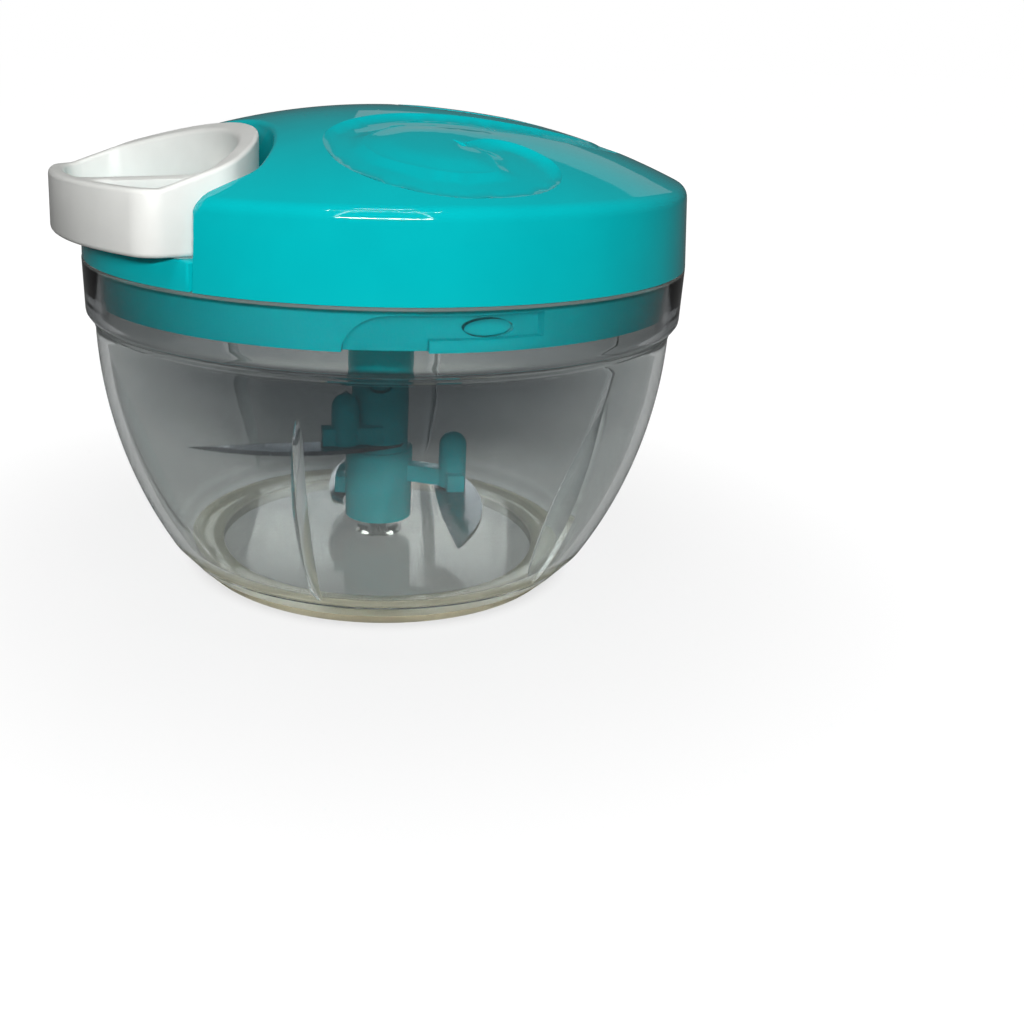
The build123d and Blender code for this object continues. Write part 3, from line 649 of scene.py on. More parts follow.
def distance(points, line, closed=True):
    """Distance of each point from a line."""
    starts = line if closed else line[:-1]
    ends = np.roll(line, -1, axis=0) if closed else line[1:]
    along = ends - starts
    length = np.maximum((along ** 2).sum(axis=1), 1e-12)
    nearest = np.full(len(points), 1e9)
    for first in range(0, len(points), points_at_once):
        part = points[first:first + points_at_once]
        offset = part[:, None, :] - starts[None, :, :]
        share = np.clip((offset * along).sum(axis=2) / length, 0, 1)
        gap = offset - share[:, :, None] * along
        nearest[first:first + points_at_once] = np.sqrt((gap ** 2).sum(axis=2).min(axis=1))
    return nearest


def inside(points, loops):
    """Whether each point lies in the area that the closed outlines bound, holes left out."""
    crossings = np.zeros(len(points), int)
    x, y = points[:, 0], points[:, 1]
    for loop in loops:
        ends = np.roll(loop, -1, axis=0)
        for (x0, y0), (x1, y1) in zip(loop, ends):
            if y0 == y1:
                continue
            spans = (y0 > y) != (y1 > y)
            crossings += spans & (x < x0 + (y - y0) * (x1 - x0) / (y1 - y0))
    return crossings % 2 == 1


def inset(line, depth, closed=True):
    """The stretches of a line moved to its left by a depth, where that is as far from the line."""
    ahead = np.roll(line, -1, axis=0) - np.roll(line, 1, axis=0)
    if not closed:
        ahead[0], ahead[-1] = line[1] - line[0], line[-1] - line[-2]
    ahead /= np.maximum(np.hypot(*ahead.T), 1e-9)[:, None]
    moved = line + depth * np.stack([-ahead[:, 1], ahead[:, 0]], axis=1)
    good = distance(moved, line, closed) > 0.96 * abs(depth)
    runs = np.split(np.arange(len(line)), np.flatnonzero(np.diff(good)) + 1)
    return [moved[run] for run in runs if good[run[0]] and len(run) > 1]


def insets(line, depths, closed=True):
    return [stretch for depth in depths for stretch in inset(line, depth, closed)]


def plan_net(loops, guides, spacing):
    """A flat net of triangles inside closed outlines, which follows the guide lines."""
    points, edges = [], []
    for loop in loops:
        base = len(points)
        points.extend(loop)
        edges += [(base + i, base + (i + 1) % len(loop)) for i in range(len(loop))]
    for line in guides:
        base = len(points)
        points.extend(line)
        edges += [(base + i, base + i + 1) for i in range(len(line) - 1)]
    fixed = np.array(points)
    low, high = fixed.min(axis=0), fixed.max(axis=0)
    rows = np.arange(low[1], high[1], spacing * sqrt(3) / 2)
    columns = np.arange(low[0], high[0], spacing)
    grid = np.array([(x + (i % 2) * spacing / 2, y) for i, y in enumerate(rows) for x in columns])
    grid = grid[inside(grid, loops)]
    clear = np.full(len(grid), 1e9)
    for first in range(0, len(grid), points_at_once):
        part = grid[first:first + points_at_once]
        gaps = ((part[:, None, :] - fixed[None, :, :]) ** 2).sum(axis=2)
        clear[first:first + points_at_once] = np.sqrt(gaps.min(axis=1))
    grid = grid[clear > 0.6 * spacing]
    everything = [Vector(p) for p in np.concatenate([fixed, grid])]
    places, _, faces, *_ = geometry.delaunay_2d_cdt(everything, edges, [], 0, 1e-4)
    places = np.array([tuple(p) for p in places])
    corners = np.array([f for f in faces if len(f) == 3])
    middles = places[corners].mean(axis=1)
    corners = corners[inside(middles, loops)]
    mesh = bmesh.new()
    verts = [mesh.verts.new((x, y, 0)) for x, y in places]
    for a, b, c in corners:
        mesh.faces.new((verts[a], verts[b], verts[c]))
    loose = [v for v in mesh.verts if not v.link_faces]
    bmesh.ops.delete(mesh, geom=loose, context="VERTS")
    return mesh


def moulding(loops, guides, spacing, top, bottom):
    """A closed body over a plan, between two surfaces given as height over the plan."""
    mesh = plan_net(loops, guides, spacing)
    made = bmesh.ops.extrude_face_region(mesh, geom=mesh.faces[:], use_keep_orig=True)
    raised = [g for g in made["geom"] if isinstance(g, bmesh.types.BMVert)]
    lower = [v for v in mesh.verts if v not in set(raised)]
    for verts, surface in ((raised, top), (lower, bottom)):
        heights = surface(np.array([(v.co.x, v.co.y) for v in verts]))
        for vert, height in zip(verts, heights):
            vert.co.z = height
    bmesh.ops.recalc_face_normals(mesh, faces=mesh.faces[:])
    return mesh


def rounded(depth, radius):
    """How far a rounded edge lies below the surface, at a depth inside the edge."""
    short = np.clip(radius - depth, 0, radius)
    return radius - np.sqrt(radius ** 2 - short ** 2)


def eased(share):
    share = np.clip(share, 0, 1)
    return share * share * (3 - 2 * share)


def spun(profile, steps=192):
    """A profile of radius and height turned about the axis."""
    mesh = bmesh.new()
    verts = [mesh.verts.new((r, 0, z)) for r, z in profile]
    edges = [mesh.edges.new(pair) for pair in zip(verts, verts[1:])]
    bmesh.ops.spin(
        mesh, geom=verts + edges, cent=(0, 0, 0), axis=(0, 0, 1), dvec=(0, 0, 0),
        angle=2 * pi, steps=steps, use_merge=True, use_duplicate=False,
    )
    bmesh.ops.remove_doubles(mesh, verts=mesh.verts[:], dist=weld)
    bmesh.ops.recalc_face_normals(mesh, faces=mesh.faces[:])
    return mesh


def refined(source, name, material, edge_mm):
    """A copy of a CAD node with merged faces and softly rounded edges."""
    mesh = bmesh.new()
    mesh.from_mesh(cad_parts[source].data)
    bmesh.ops.remove_doubles(mesh, verts=mesh.verts[:], dist=weld * MM)
    bmesh.ops.dissolve_limit(mesh, angle_limit=radians(0.3), verts=mesh.verts[:], edges=mesh.edges[:])
    sharp = [e for e in mesh.edges if len(e.link_faces) == 2 and e.calc_face_angle(0) > radians(40)]
    if edge_mm:
        bmesh.ops.bevel(
            mesh, geom=sharp, offset=edge_mm * MM, offset_type="OFFSET", segments=2, profile=0.5,
            affect="EDGES", clamp_overlap=True, material=-1,
        )
    bmesh.ops.triangulate(mesh, faces=[f for f in mesh.faces if len(f.verts) > 4])
    return finished(name, mesh, material, 35.0)


# Lid

def dome_height(points, drop=0.0):
    """Height of the lid's outside, with its rounded shoulder, lowered along the dome by drop."""
    radius = np.hypot(*points.T)
    dome = dome_centre + np.sqrt(np.maximum((dome_radius - drop) ** 2 - radius ** 2, 0))
    beyond = np.clip(radius - shoulder_centre, 0, shoulder_round - drop)
    shoulder = shoulder_height + np.sqrt(np.maximum((shoulder_round - drop) ** 2 - beyond ** 2, 0))
    return np.where(radius > shoulder_start, shoulder, dome)


def pocket_turn():
    """Angle on the pocket's arc at which its corner begins, and the corner's centre."""
    centre_y = pocket_half - pocket_corner
    turn = asin(centre_y / (pocket_arc - pocket_corner))
    return degrees(turn), (pocket_centre + (pocket_arc - pocket_corner) * cos(turn), centre_y)


def pocket_line():
    """The pocket's wall in plan, from its +Y end to its -Y end."""
    turn, (x, y) = pocket_turn()
    return joined(
        arc((x, y), pocket_corner, 90, turn, 0.6),
        arc((pocket_centre, 0), pocket_arc, turn, -turn),
        arc((x, -y), pocket_corner, -turn, -90, 0.6),
    )


def lid_outline():
    """Plan of the lid above the ledge: its circle, cut by the pocket, with rounded prows."""
    prow_y = pocket_half + prow_round
    prow_x = -sqrt((lid_radius - prow_round) ** 2 - prow_y ** 2)
    open_angle = degrees(atan2(prow_y, prow_x))
    pocket = pocket_line()
    straight = np.linspace(prow_x, pocket[0][0], 10)[1:-1]
    upper = np.stack([straight, np.full(8, pocket_half)], axis=1)
    lower = np.stack([straight[::-1], np.full(8, -pocket_half)], axis=1)
    return joined(
        arc((0, 0), lid_radius, -open_angle, open_angle),
        arc((prow_x, prow_y), prow_round, open_angle, 270, 0.15),
        upper, pocket, lower,
        arc((prow_x, -prow_y), prow_round, 90, 360 - open_angle, 0.15),
    )


def scroll_lines(side):
    """Outer line, and the line round the curl's raised middle, of one scroll: side is 1 or -1."""
    outer = smooth_line(scroll_outer_shares)
    inner = np.concatenate([smooth_line(scroll_hook_shares)[:-1], smooth_line(scroll_inner_shares)])
    flip = np.array([1, -side])
    return outer * flip, inner * flip


def relief(points):
    """Depth of the ornament and amount of its grain at each point."""
    depth, grain = np.zeros(len(points)), np.zeros(len(points))
    tail = eased((points[:, 0] / bowl_radius - grain_start_share) / (grain_full_share - grain_start_share))
    for side in (1, -1):
        outer, inner = scroll_lines(side)
        within = inside(points, [np.concatenate([outer, inner])])
        from_outer = distance(points, outer, closed=False)
        from_inner = distance(points, inner, closed=False)
        inner_wall = crisp_wall + (soft_wall - crisp_wall) * (1 - tail)
        pillow = pillow_share * (1 - tail)
        inner_side = pillow + (1 - pillow) * eased(from_inner / inner_wall)
        sunk = eased(from_outer / crisp_wall) * inner_side
        depth = np.where(within, relief_depth * sunk, depth)
        middle = ~within & (from_inner < from_outer) & (from_inner < pillow_width)
        fall = relief_depth * pillow * (1 - eased(from_inner / pillow_width))
        depth = np.where(middle, np.maximum(fall, depth), depth)
        grain = np.where(within, eased((sunk - 0.8) / 0.2) * tail, grain)
    big, small = ellipse(oval_centre, *moat_outer), ellipse(oval_centre, *moat_inner)
    between = inside(points, [big, small])
    sunk = eased(distance(points, big) / crisp_wall) * eased(distance(points, small) / crisp_wall)
    depth = np.where(between, relief_depth * sunk, depth)
    grain = np.where(between, eased((sunk - 0.8) / 0.2), grain)
    seat = ellipse(oval_centre, *oval_seat)
    within = inside(points, [seat])
    depth = np.where(within, oval_seat_depth * eased(distance(points, seat) / oval_seat_wall), depth)
    return depth, grain


def relief_guides():
    """Lines that the lid's net follows, so that each wall of the ornament is clean."""
    guides = []
    for side in (1, -1):
        outer, inner = scroll_lines(side)
        guides += insets(outer, [side * crisp_wall * s or 1e-3 for s in (-0.3, *wall_steps, 1.3)], False)
        depths = (1e-3, 0.07, 0.17, 0.3, 0.45, 0.58, 0.7, 0.9, 1.15, soft_wall)
        guides += insets(inner, [side * depth for depth in depths], False)
    for half_length, half_width, sign in ((*moat_outer, 1), (*moat_inner, -1), (*oval_seat, 1)):
        wall_width = oval_seat_wall if (half_length, half_width) == oval_seat else crisp_wall
        for share in wall_steps:
            reach = sign * wall_width * share
            loop = ellipse(oval_centre, half_length - reach, half_width - reach)
            guides.append(np.concatenate([loop, loop[:1]]))
    return guides


def make_lid():
    outline = lid_outline()
    pocket = pocket_line()
    edge = np.concatenate([[[-lid_radius, pocket_half]], pocket, [[-lid_radius, -pocket_half]]])
    prow = np.array([-sqrt(lid_radius ** 2 - pocket_half ** 2), pocket_half])
    guides = relief_guides()
    guides += insets(outline, (0.08, 0.22, 0.42, 0.65, 0.9, 1.25, 1.7, lid_wall - 0.3, lid_wall))

    def top(points):
        depth, _ = relief(points)
        rounding = rounded(distance(points, edge, closed=False), pocket_edge_round)
        from_prow = np.hypot(points[:, 0] - prow[0], np.abs(points[:, 1]) - prow[1])
        return dome_height(points) - depth - rounding - rounded(from_prow, prow_fall)

    def bottom(points):
        hollow = (np.hypot(*points.T) < lid_bore) & (distance(points, edge, closed=False) > pocket_wall)
        return np.where(hollow, dome_height(points, lid_wall), rim)

    mesh = moulding([outline], guides, 1.7, top, bottom)
    for vert in mesh.verts:
        radius = hypot(vert.co.x, vert.co.y)
        if vert.co.z < rim + 0.01 and radius > lid_radius - 0.05:
            vert.co.xy *= bowl_radius / radius
    grain = mesh.verts.layers.float.new("grain")
    _, amounts = relief(np.array([(v.co.x, v.co.y) for v in mesh.verts]))
    for vert, amount in zip(mesh.verts, amounts):
        vert[grain] = amount if vert.co.z > rim + 2 * lid_wall else 0.0
    add_ledge(mesh)
    return in_metres("lid_cover_moulding", mesh, teal, 46.0)


def add_ledge(mesh):
    """The pocket's floor, and the side below it, as a second body of the lid."""
    turn, (x, y) = pocket_turn()
    reach = bowl_radius - ledge_step
    half = pocket_half + ledge_overlap
    grow = pocket_corner + ledge_overlap
    open_angle = degrees(asin(half / reach))
    outline = joined(
        arc((0, 0), reach, 180 - open_angle, 180 + open_angle),
        arc((x, -y), grow, -90, -turn, 0.6),
        arc((pocket_centre, 0), pocket_arc + ledge_overlap, -turn, turn),
        arc((x, y), grow, turn, 90, 0.6),
    )
    face = arc((0, 0), reach, 180 - open_angle, 180 + open_angle)
    guides = insets(outline, (0.1, 0.3, 0.6, lid_wall - 0.3, lid_wall))

    def top(points):
        return pocket_floor - rounded(distance(points, face, closed=False), ledge_round)

    def bottom(points):
        return np.where(np.hypot(*points.T) < reach - lid_wall, pocket_floor - pocket_wall, rim)

    ledge = moulding([outline], guides, 2.5, top, bottom)
    add_body(mesh, ledge)


def make_oval():
    """The plain white oval let into the lid."""
    outline = ellipse(oval_centre, *oval_plate)
    guides = insets(outline, (0.08, 0.2, 0.4, 0.7))

    def top(points):
        return dome_height(points) + oval_stand - rounded(distance(points, outline), oval_round)

    def bottom(points):
        return dome_height(points) - oval_seat_depth

    mesh = moulding([outline], guides, 1.5, top, bottom)
    return in_metres("medallion_plate", mesh, white)


def make_lid_base():
    """The lid base, with the arched roof that leads each lug into its track."""
    mesh = bmesh.new()
    base = refined("lid_base", "lid_base_moulding", teal, 0.25)
    mesh.from_mesh(base.data)
    outer = bowl_radius - wall - track_gap
    low, roof = cad("lid_base", 0, Z), rim - track_roof_drop
    turns = np.linspace(0, pi / 2, 16)
    curve = np.stack([way_in_arch * (1 - np.cos(turns)), low + (roof - low) * np.sin(turns)], axis=1)
    outline = joined([(-0.4, low)], curve, [(way_in_arch, roof + 0.4), (-0.4, roof + 0.4)])
    for i in range(lug_count):
        start = radians(way_in_start + 360 * i / lug_count)
        arch = moulding([outline], [], 1.0, level(outer), level(outer - track_depth))
        for vert in arch.verts:
            turn, radius = start + vert.co.x / outer, vert.co.z
            vert.co = (radius * cos(turn), radius * sin(turn), vert.co.y)
        bmesh.ops.recalc_face_normals(arch, faces=arch.faces[:])
        to_metres(arch)
        add_body(mesh, arch)
    bpy.data.objects.remove(base)
    return finished("lid_base_skirt", mesh, teal, 35.0)


# Handle

def handle_outline(front, side, back, outer_round, inner_round):
    """Plan of the finger ring, moved inwards by its walls, with its corners' radii."""
    half = handle_half - side
    face_centre, apex_centre = handle_face + handle_face_arc, handle_apex - handle_arc
    face_arc, apex_arc = handle_face_arc - front, handle_arc - back
    outer_y, inner_y = half - outer_round, half - inner_round
    outer_turn = asin(outer_y / (face_arc - outer_round))
    inner_turn = asin(inner_y / (apex_arc - inner_round))
    outer_x = face_centre - (face_arc - outer_round) * cos(outer_turn)
    inner_x = apex_centre + (apex_arc - inner_round) * cos(inner_turn)
    a, b = degrees(outer_turn), degrees(inner_turn)
    return joined(
        arc((face_centre, 0), face_arc, 180 - a, 180 + a),
        arc((outer_x, -outer_y), outer_round, 180 + a, 270, 0.5),
        arc((inner_x, -inner_y), inner_round, 270, 360 - b, 0.5),
        arc((apex_centre, 0), apex_arc, -b, b),
        arc((inner_x, inner_y), inner_round, b, 90, 0.5),
        arc((outer_x, outer_y), outer_round, 90, 180 - a, 0.5),
    )


def handle_top(points):
    """Height of the ring: level over the outer bar, then swelling up to the inner one."""
    depth = handle_apex - handle_face
    share = (points[:, 0] - handle_face) / depth
    climb = np.clip((share - handle_flat_share) / (1 - handle_flat_share), 0, 1)
    rise = handle_high - handle_low - handle_low_height
    return handle_low + handle_low_height + rise * climb ** handle_climb


def make_handle():
    outer = handle_outline(0, 0, 0, handle_outer_corner, handle_inner_corner)
    window = handle_outline(handle_front, handle_side, handle_bar, window_outer_corner, window_inner_corner)
    guides = []
    for depth in (0.1, 0.28, 0.52, 0.85, handle_edge_round):
        guides += inset(outer, depth)
        guides += inset(window, -depth)

    def edge_round(points):
        return rounded(np.minimum(distance(points, outer), distance(points, window)), handle_edge_round)

    mesh = moulding(
        [outer, window], guides, 1.4,
        lambda points: handle_top(points) - edge_round(points),
        lambda points: handle_low + edge_round(points),
    )
    add_spoke(mesh)
    return in_metres("handle_moulding", mesh, white)


def add_spoke(mesh):
    """The spoke from the outer bar to the hub that holds the cord, in one plan with fillets."""
    hub_x = handle_apex - handle_bar - knot_hub_inset
    start = handle_face + handle_bar * 0.6
    bar_edge = handle_face + handle_bar
    neck_x = bar_edge + spoke_flare
    hub_turn = degrees(asin(spoke_half / knot_hub_radius))
    upper = [(start, spoke_half + spoke_flare), (bar_edge, spoke_half + spoke_flare)]
    curve = arc((neck_x, spoke_half + spoke_flare), spoke_flare, 180, 270, 0.5)
    half = np.concatenate([upper[:1], curve])
    outline = joined(
        arc((hub_x, 0), knot_hub_radius, 180 + hub_turn, 540 - hub_turn, 0.5),
        half[::-1],
        half * (1, -1),
    )
    top_height = handle_low + handle_low_height - spoke_drop
    guides = insets(outline, (0.1, 0.3, 0.6, 0.9))

    def top(points):
        return top_height - rounded(distance(points, outline), spoke_round)

    def bottom(points):
        near_hub = np.hypot(points[:, 0] - hub_x, points[:, 1]) < knot_hub_radius + 0.05
        low = np.where(near_hub, handle_low + knot_hub_lift, top_height - spoke_height)
        return low + rounded(distance(points, outline), spoke_foot_round)

    spoke = moulding([outline], guides, 1.2, top, bottom)
    add_body(mesh, spoke)


# Bowl

def circle_through(first, second, third):
    """Centre and radius of the circle through three points."""
    (ax, ay), (bx, by), (cx, cy) = first, second, third
    d = 2 * (ax * (by - cy) + bx * (cy - ay) + cx * (ay - by))
    a2, b2, c2 = ax * ax + ay * ay, bx * bx + by * by, cx * cx + cy * cy
    x = (a2 * (by - cy) + b2 * (cy - ay) + c2 * (ay - by)) / d
    y = (a2 * (cx - bx) + b2 * (ax - cx) + c2 * (bx - ax)) / d
    return (x, y), hypot(ax - x, ay - y)


neck = (bowl_radius - collar_draft - collar_step, rim - collar_height - collar_step_rise)
flank_middle = (
    knee[0] + flank_mid_share[0] * (neck[0] - knee[0]),
    knee[1] + flank_mid_share[1] * (neck[1] - knee[1]),
)
flank_centre, flank_radius = circle_through(knee, flank_middle, neck)


def flank(inwards, start):
    """The swelling wall, moved inwards, from an angle up to the neck."""
    end = degrees(atan2(neck[1] - flank_centre[1], neck[0] - flank_centre[0]))
    return arc(flank_centre, flank_radius - inwards, start, end, 2.0)


def bowl_profile():
    """Closed section of the bowl's wall, from the axis under the floor round to the floor's top."""
    knee_angle = degrees(atan2(knee[1] - flank_centre[1], knee[0] - flank_centre[0]))
    cone = (knee[0] - foot[0]) / knee[1]
    base = foot[0] + cone * ring_top
    collar_foot = rim - collar_height
    low_radius = bowl_radius - collar_draft
    seat = foot[0] - ring_width
    outer = [(0, underside), (seat, underside), (seat, ring_top), (base, ring_top)]
    outer += [*flank(0, knee_angle)]
    for low in (0.15, 0.95):
        outer += [(neck[0] + 0.2, neck[1] + low), (neck[0] + 0.2, neck[1] + low + 0.3)]
        outer += [(neck[0], neck[1] + low + 0.45)]
    outer += [
        (neck[0] + 0.3, collar_foot - 1.2), (low_radius - 0.5, collar_foot - 0.7),
        (low_radius - 0.1, collar_foot - 0.1), (low_radius, collar_foot + 0.5),
        (bowl_radius, rim - rim_round),
    ]
    outer += [*arc((bowl_radius - rim_round, rim - rim_round), rim_round, 20, 90, 0.15)]
    inner_radius = bowl_radius - wall
    inner = [*arc((inner_radius + rim_round, rim - rim_round), rim_round, 90, 160, 0.15)]
    inner += [(inner_radius, rim - rim_round), (low_radius - wall, collar_foot + 1.2)]
    inner += [(low_radius - wall - 0.3, collar_foot + 0.2), (neck[0] - wall + 0.4, neck[1] + 0.9)]
    low = floor_top + floor_round
    span = flank_radius - wall - floor_round
    turn = -asin((flank_centre[1] - low) / span)
    foot_x = flank_centre[0] + span * cos(turn)
    inner += [*flank(wall, degrees(turn))[::-1], *arc((foot_x, low), floor_round, degrees(turn), -90, 1.0)]
    inner += [(boss_radius + 0.8, floor_top), (boss_radius, floor_top + 0.5)]
    inner += [(boss_radius - 0.2, boss_top - 0.2), (boss_radius - 0.5, boss_top), (0, boss_top)]
    return outer + inner


def fin_line(height):
    """Radius of the fins' swelling line at a height."""
    top_point = (neck[0] - wall, fin_top)
    foot_point = (foot[0] + fin_thickness, floor_top)
    middle = (top_point[0] - fin_depth, (fin_top + floor_top) / 2)
    centre, radius = circle_through(top_point, middle, foot_point)
    side = 1 if middle[0] > centre[0] else -1
    return centre[0] + side * sqrt(radius ** 2 - (height - centre[1]) ** 2)


def wall_line(height):
    """Radius of the middle of the wall's thickness at a height."""
    reach = flank_radius - wall / 2
    swelling = flank_centre[0] + sqrt(reach ** 2 - (height - flank_centre[1]) ** 2)
    cone = foot[0] + (knee[0] - foot[0]) * height / knee[1] - wall
    return min(swelling, cone) if height < knee[1] else swelling


def add_fins(mesh):
    """Swept fins, thick at the wall and rounded at the edge that the food meets."""
    heights = np.linspace(floor_top - 0.8, fin_top, 26)
    for i in range(fin_count):
        angle = radians(fin_first_angle + 360 * i / fin_count)
        lean = radians(fin_swirl)
        inwards = Vector((-cos(angle + lean), -sin(angle + lean), 0))
        across = Vector((-inwards.y, inwards.x, 0))
        rings = []
        for height in heights:
            outer = wall_line(height)
            depth = max(outer - fin_line(max(height, floor_top)), 0.3) / cos(lean)
            root = Vector((outer * cos(angle), outer * sin(angle), height))
            taper = 0.3 + 0.7 * min(1.0, depth / 3.0)
            section = []
            for along, side in fin_section_shares:
                place = root + inwards * depth * along + across * side * fin_thickness / 2 * taper
                section.append(mesh.verts.new(place))
            rings.append(section)
        for lower, upper in zip(rings, rings[1:]):
            for j in range(len(lower)):
                k = (j + 1) % len(lower)
                mesh.faces.new((lower[j], lower[k], upper[k], upper[j]))
        mesh.faces.new(rings[0][::-1])
        mesh.faces.new(rings[-1])


def add_lugs(mesh):
    """Oval lugs inside the collar, which hold the lid."""
    for i in range(lug_count):
        turn = Matrix.Rotation(radians(lug_angle + 360 * i / lug_count), 4, "Z")
        upright = Matrix.Rotation(radians(90), 4, "Y")
        place = Matrix.Translation((bowl_radius - wall - lug_depth / 2 + 0.8, 0, rim - lug_drop))
        made = bmesh.ops.create_cone(
            mesh, cap_ends=True, segments=40, radius1=0.5, radius2=0.5, depth=1.0,
        )
        stretch = Matrix.Diagonal((lug_size[1], lug_size[0], lug_depth + 1.6, 1))
        bmesh.ops.transform(mesh, matrix=turn @ place @ upright @ stretch, verts=made["verts"])
        ends = [e for e in mesh.edges if all(v in made["verts"] for v in e.verts)]
        rims = [e for e in ends if len(e.link_faces) == 2 and e.calc_face_angle(0) > radians(60)]
        bmesh.ops.bevel(mesh, geom=rims, offset=0.5, segments=3, profile=0.5, affect="EDGES", material=-1)


def make_bowl():
    shell = in_metres("bowl_moulding", spun(bowl_profile(), 256), smoke, 30.0)
    ribs = bmesh.new()
    add_fins(ribs)
    add_lugs(ribs)
    bmesh.ops.recalc_face_normals(ribs, faces=ribs.faces[:])
    cutter = in_metres("bowl_ribs", ribs, smoke, 30.0)
    union = shell.modifiers.new("ribs", "BOOLEAN")
    union.operation = "UNION"
    union.solver = "EXACT"
    union.object = cutter
    shape = bpy.data.meshes.new_from_object(shell.evaluated_get(bpy.context.evaluated_depsgraph_get()))
    shell.modifiers.clear()
    shell.data = shape
    shape.shade_smooth()
    shape.set_sharp_from_angle(angle=radians(30))
    places = np.array([tuple(v.co) for v in shape.vertices]) / MM
    rib = shape.attributes.new("rib", "FLOAT", "POINT")
    for i, (x, y, height) in enumerate(places):
        radius = hypot(x, y)
        if radius > foot[0] / 2 and floor_top + 0.6 < height < neck[1]:
            rib.data[i].value = min(max((wall_line(height) - wall / 2 - 0.2 - radius) / 0.8, 0.0), 1.0)
    bpy.data.objects.remove(cutter)
    return shell


def make_ring():
    """The soft ring that the bowl stands on."""
    inner = foot[0] - ring_width
    cone = (knee[0] - foot[0]) / knee[1]
    profile = [(inner, ring_top), (inner, 0.4)]
    profile += [*arc((inner + 0.4, 0.4), 0.4, 180, 270, 0.15), *arc((foot[0] - 0.6, 0.6), 0.6, -90, -40, 0.2)]
    profile += [(foot[0] + cone * ring_top, ring_top - 0.02), (foot[0] - 0.2, ring_top + ring_grip)]
    profile += [(inner + 0.3, ring_top + ring_grip), (inner, ring_top)]
    return in_metres("grip_ring", spun(profile), rubber)


# Blades and cord

def make_blade(name, angle, reach, heading, clear_radius):
    """A sickle of steel strip with a ground cutting edge, cut back where it passes the hub."""
    high = cad(name, 1, Z)
    tip = np.array([blade_length, -blade_width / 2])
    heel = np.array([-blade_tail, blade_root_shares[0] * blade_width])
    toe = np.array([-blade_tail, blade_root_shares[1] * blade_width])
    middle = (blade_length - blade_tail) / 2

    def bowed(start, through, end):
        centre, radius = circle_through(tuple(start), tuple(through), tuple(end))
        angles = [degrees(atan2(p[1] - centre[1], p[0] - centre[0])) for p in (start, through, end)]
        turn = (angles[2] - angles[0] + 540) % 360 - 180
        return arc(centre, radius, angles[0], angles[0] + turn, 1.0)

    turn = radians(heading)
    along, across = np.array([cos(turn), sin(turn)]), np.array([-sin(turn), cos(turn)])
    rivet = reach * np.array([cos(radians(angle)), sin(radians(angle))])
    hub = np.array([-rivet @ along, -rivet @ across])

    def cleared(points):
        """Moves points that lie in the hub out to the radius that the blade clears."""
        offset = points - hub
        radius = np.maximum(np.hypot(*offset.T), 1e-6)
        return hub + offset * (np.maximum(radius, clear_radius) / radius)[:, None]

    back = bowed(heel, (middle, blade_width / 2), tip)
    cutting = cleared(bowed(tip, (middle, -blade_width / 2), toe))
    outline = joined(cleared(back), cutting)
    guides = insets(outline, (-0.4, -blade_grind))

    def top(points):
        thin = np.clip(distance(points, cutting, closed=False) / blade_grind, 0, 1)
        return high - blade_thickness + blade_edge_thickness + (blade_thickness - blade_edge_thickness) * thin

    mesh = moulding([outline], guides, 1.5, top, level(high - blade_thickness))
    bmesh.ops.rotate(mesh, cent=(0, 0, 0), matrix=Matrix.Rotation(turn, 3, "Z"), verts=mesh.verts[:])
    bmesh.ops.translate(mesh, vec=(*rivet, 0), verts=mesh.verts[:])
    return in_metres(name + "_strip", mesh, stainless, 20.0)


def make_cord():
    """The taut cord from the spool to the handle's hub, closely ringed."""
    low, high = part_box("cord_lead")
    height = (low.z + high.z) / 2 / MM
    knot_x = cad("cord_lead", 0, X)
    start = Vector((cad("cord_lead", 1, X) - cord_inset, cad("cord_lead", 1, Y) - cord_inset, height))
    bend = Vector((-(pocket_apex - pocket_wall - cord_bend), 0, height))
    mesh = bmesh.new()
    ring = bmesh.ops.create_circle(mesh, segments=20, radius=cord_radius, cap_ends=False)["verts"]
    heading = bend - start
    first = Matrix.Translation(start) @ heading.to_track_quat("Z", "Y").to_matrix().to_4x4()
    bmesh.ops.transform(mesh, matrix=first, verts=ring)
    edges = mesh.edges[:]
    stations = [bend.lerp(start, 0.12)]
    stations += [Vector((x, 0, height)) for x in np.linspace(bend.x - cord_bend, knot_x, 60)]
    for place in stations:
        made = bmesh.ops.extrude_edge_only(mesh, edges=edges)["geom"]
        ring = [g for g in made if isinstance(g, bmesh.types.BMVert)]
        edges = [g for g in made if isinstance(g, bmesh.types.BMEdge)]
        middle = sum((v.co for v in ring), Vector()) / len(ring)
        bmesh.ops.translate(mesh, vec=place - middle, verts=ring)
        if abs(place.y) < 0.01 and abs(middle.y) > 0.01:
            swing = heading.rotation_difference(Vector((-1, 0, 0))).to_matrix()
            bmesh.ops.rotate(mesh, cent=place, matrix=swing, verts=ring)
    bmesh.ops.holes_fill(mesh, edges=[e for e in mesh.edges if e.is_boundary], sides=0)
    bmesh.ops.recalc_face_normals(mesh, faces=mesh.faces[:])
    cord = in_metres("cord_line", mesh, cord_fibre, 60.0)
    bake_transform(cord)
    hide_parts("cord_lead")


# The scene

teal = moulded_abs_teal()
white = moulded_abs_white()
smoke = moulded_san_smoke()
rubber = moulded_tpr_beige()
stainless = ground_stainless()
zinc = plated_steel("zinc_plated_steel", "#B9BBBB", "#A9ACAD", 0.22, 0.38)
blued = plated_steel("blued_spring_steel", "#5C6066", "#494D55", 0.25, 0.42)
acetal = moulded_acetal()
cord_fibre = braided_polyester()

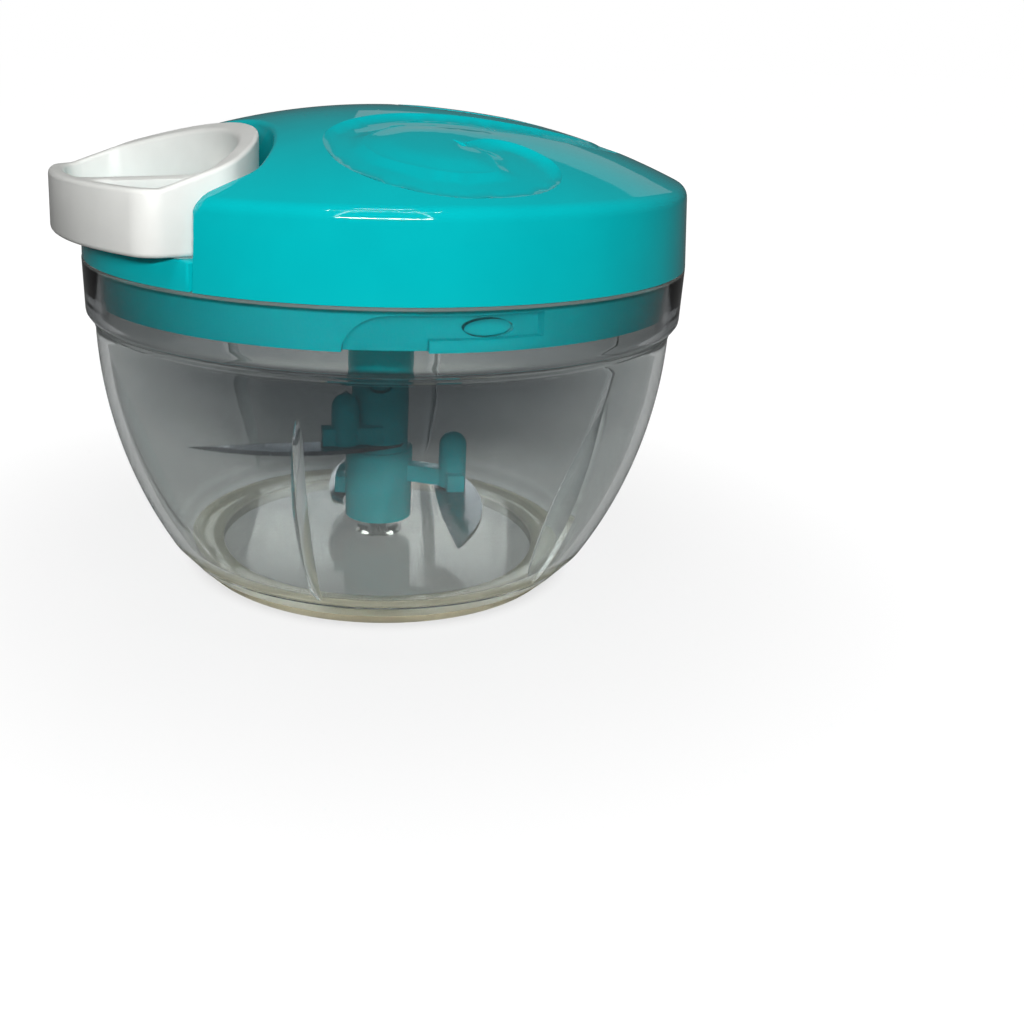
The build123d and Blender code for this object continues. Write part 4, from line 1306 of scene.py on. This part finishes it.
make_camera()
make_world()
make_floor()
for lamp, setting in lamps.items():
    make_lamp(lamp, *setting)
make_cord()

fit(make_lid(), "lid", "teal_plastic", "lid_cover")
fit(make_oval(), "lid", "white_plastic", "medallion")
fit(make_lid_base(), "lid", "teal_plastic", "lid_base")
fit(make_handle(), "handle", "white_plastic", "handle")
fit(make_bowl(), "bowl", "clear_plastic", "bowl")
fit(make_ring(), "bowl", "grip_rubber", "anti_slip_ring")
for blade, place in blades.items():
    fit(make_blade(blade, *place), "blades", "blade_steel", blade)

slot_materials = {
    "teal_plastic": teal, "white_plastic": white, "acetal": acetal, "fastener_steel": zinc,
    "spring_steel": blued, "cord_fibre": cord_fibre,
}
refined_nodes = (           # source node, how it is made, body, slot, edge rounding
    ("drive_shaft", "moulding", "drive", "teal_plastic", 0.25),
    ("blade_hub", "moulding", "blades", "teal_plastic", 0.3),
    ("blade_rivets", "pressed", "blades", "fastener_steel", 0.15),
    ("bowl_pin", "turned", "bowl", "fastener_steel", 0.0),
    ("lid_screws", "rolled", "lid", "fastener_steel", 0.12),
    ("spool_screw", "rolled", "lid", "fastener_steel", 0.12),
    ("spool_washer", "stamped", "lid", "fastener_steel", 0.08),
    ("shaft_bush", "moulding", "lid", "acetal", 0.12),
    ("thrust_washer", "moulding", "lift", "acetal", 0.12),
    ("shaft_clip", "stamped", "drive", "spring_steel", 0.1),
    ("cord_eyelet", "moulding", "lid", "white_plastic", 0.12),
    ("cord_knot", "tied", "handle", "cord_fibre", 0.0),
    ("cord_winding", "turns", "spool", "cord_fibre", 0.0),
    ("spool", "moulding", "spool", "acetal", 0.2),
    ("spring_cover", "moulding", "spool", "acetal", 0.15),
    ("power_spring", "strip", "spool", "spring_steel", 0.0),
    ("pawl_a", "moulding", "pawl_a", "acetal", 0.15),
    ("pawl_b", "moulding", "pawl_b", "acetal", 0.15),
)
for source, making, body, slot, edge_mm in refined_nodes:
    fit(refined(source, f"{source}_{making}", slot_materials[slot], edge_mm), body, slot, source)

bpy.context.scene.view_settings.view_transform = "Standard"
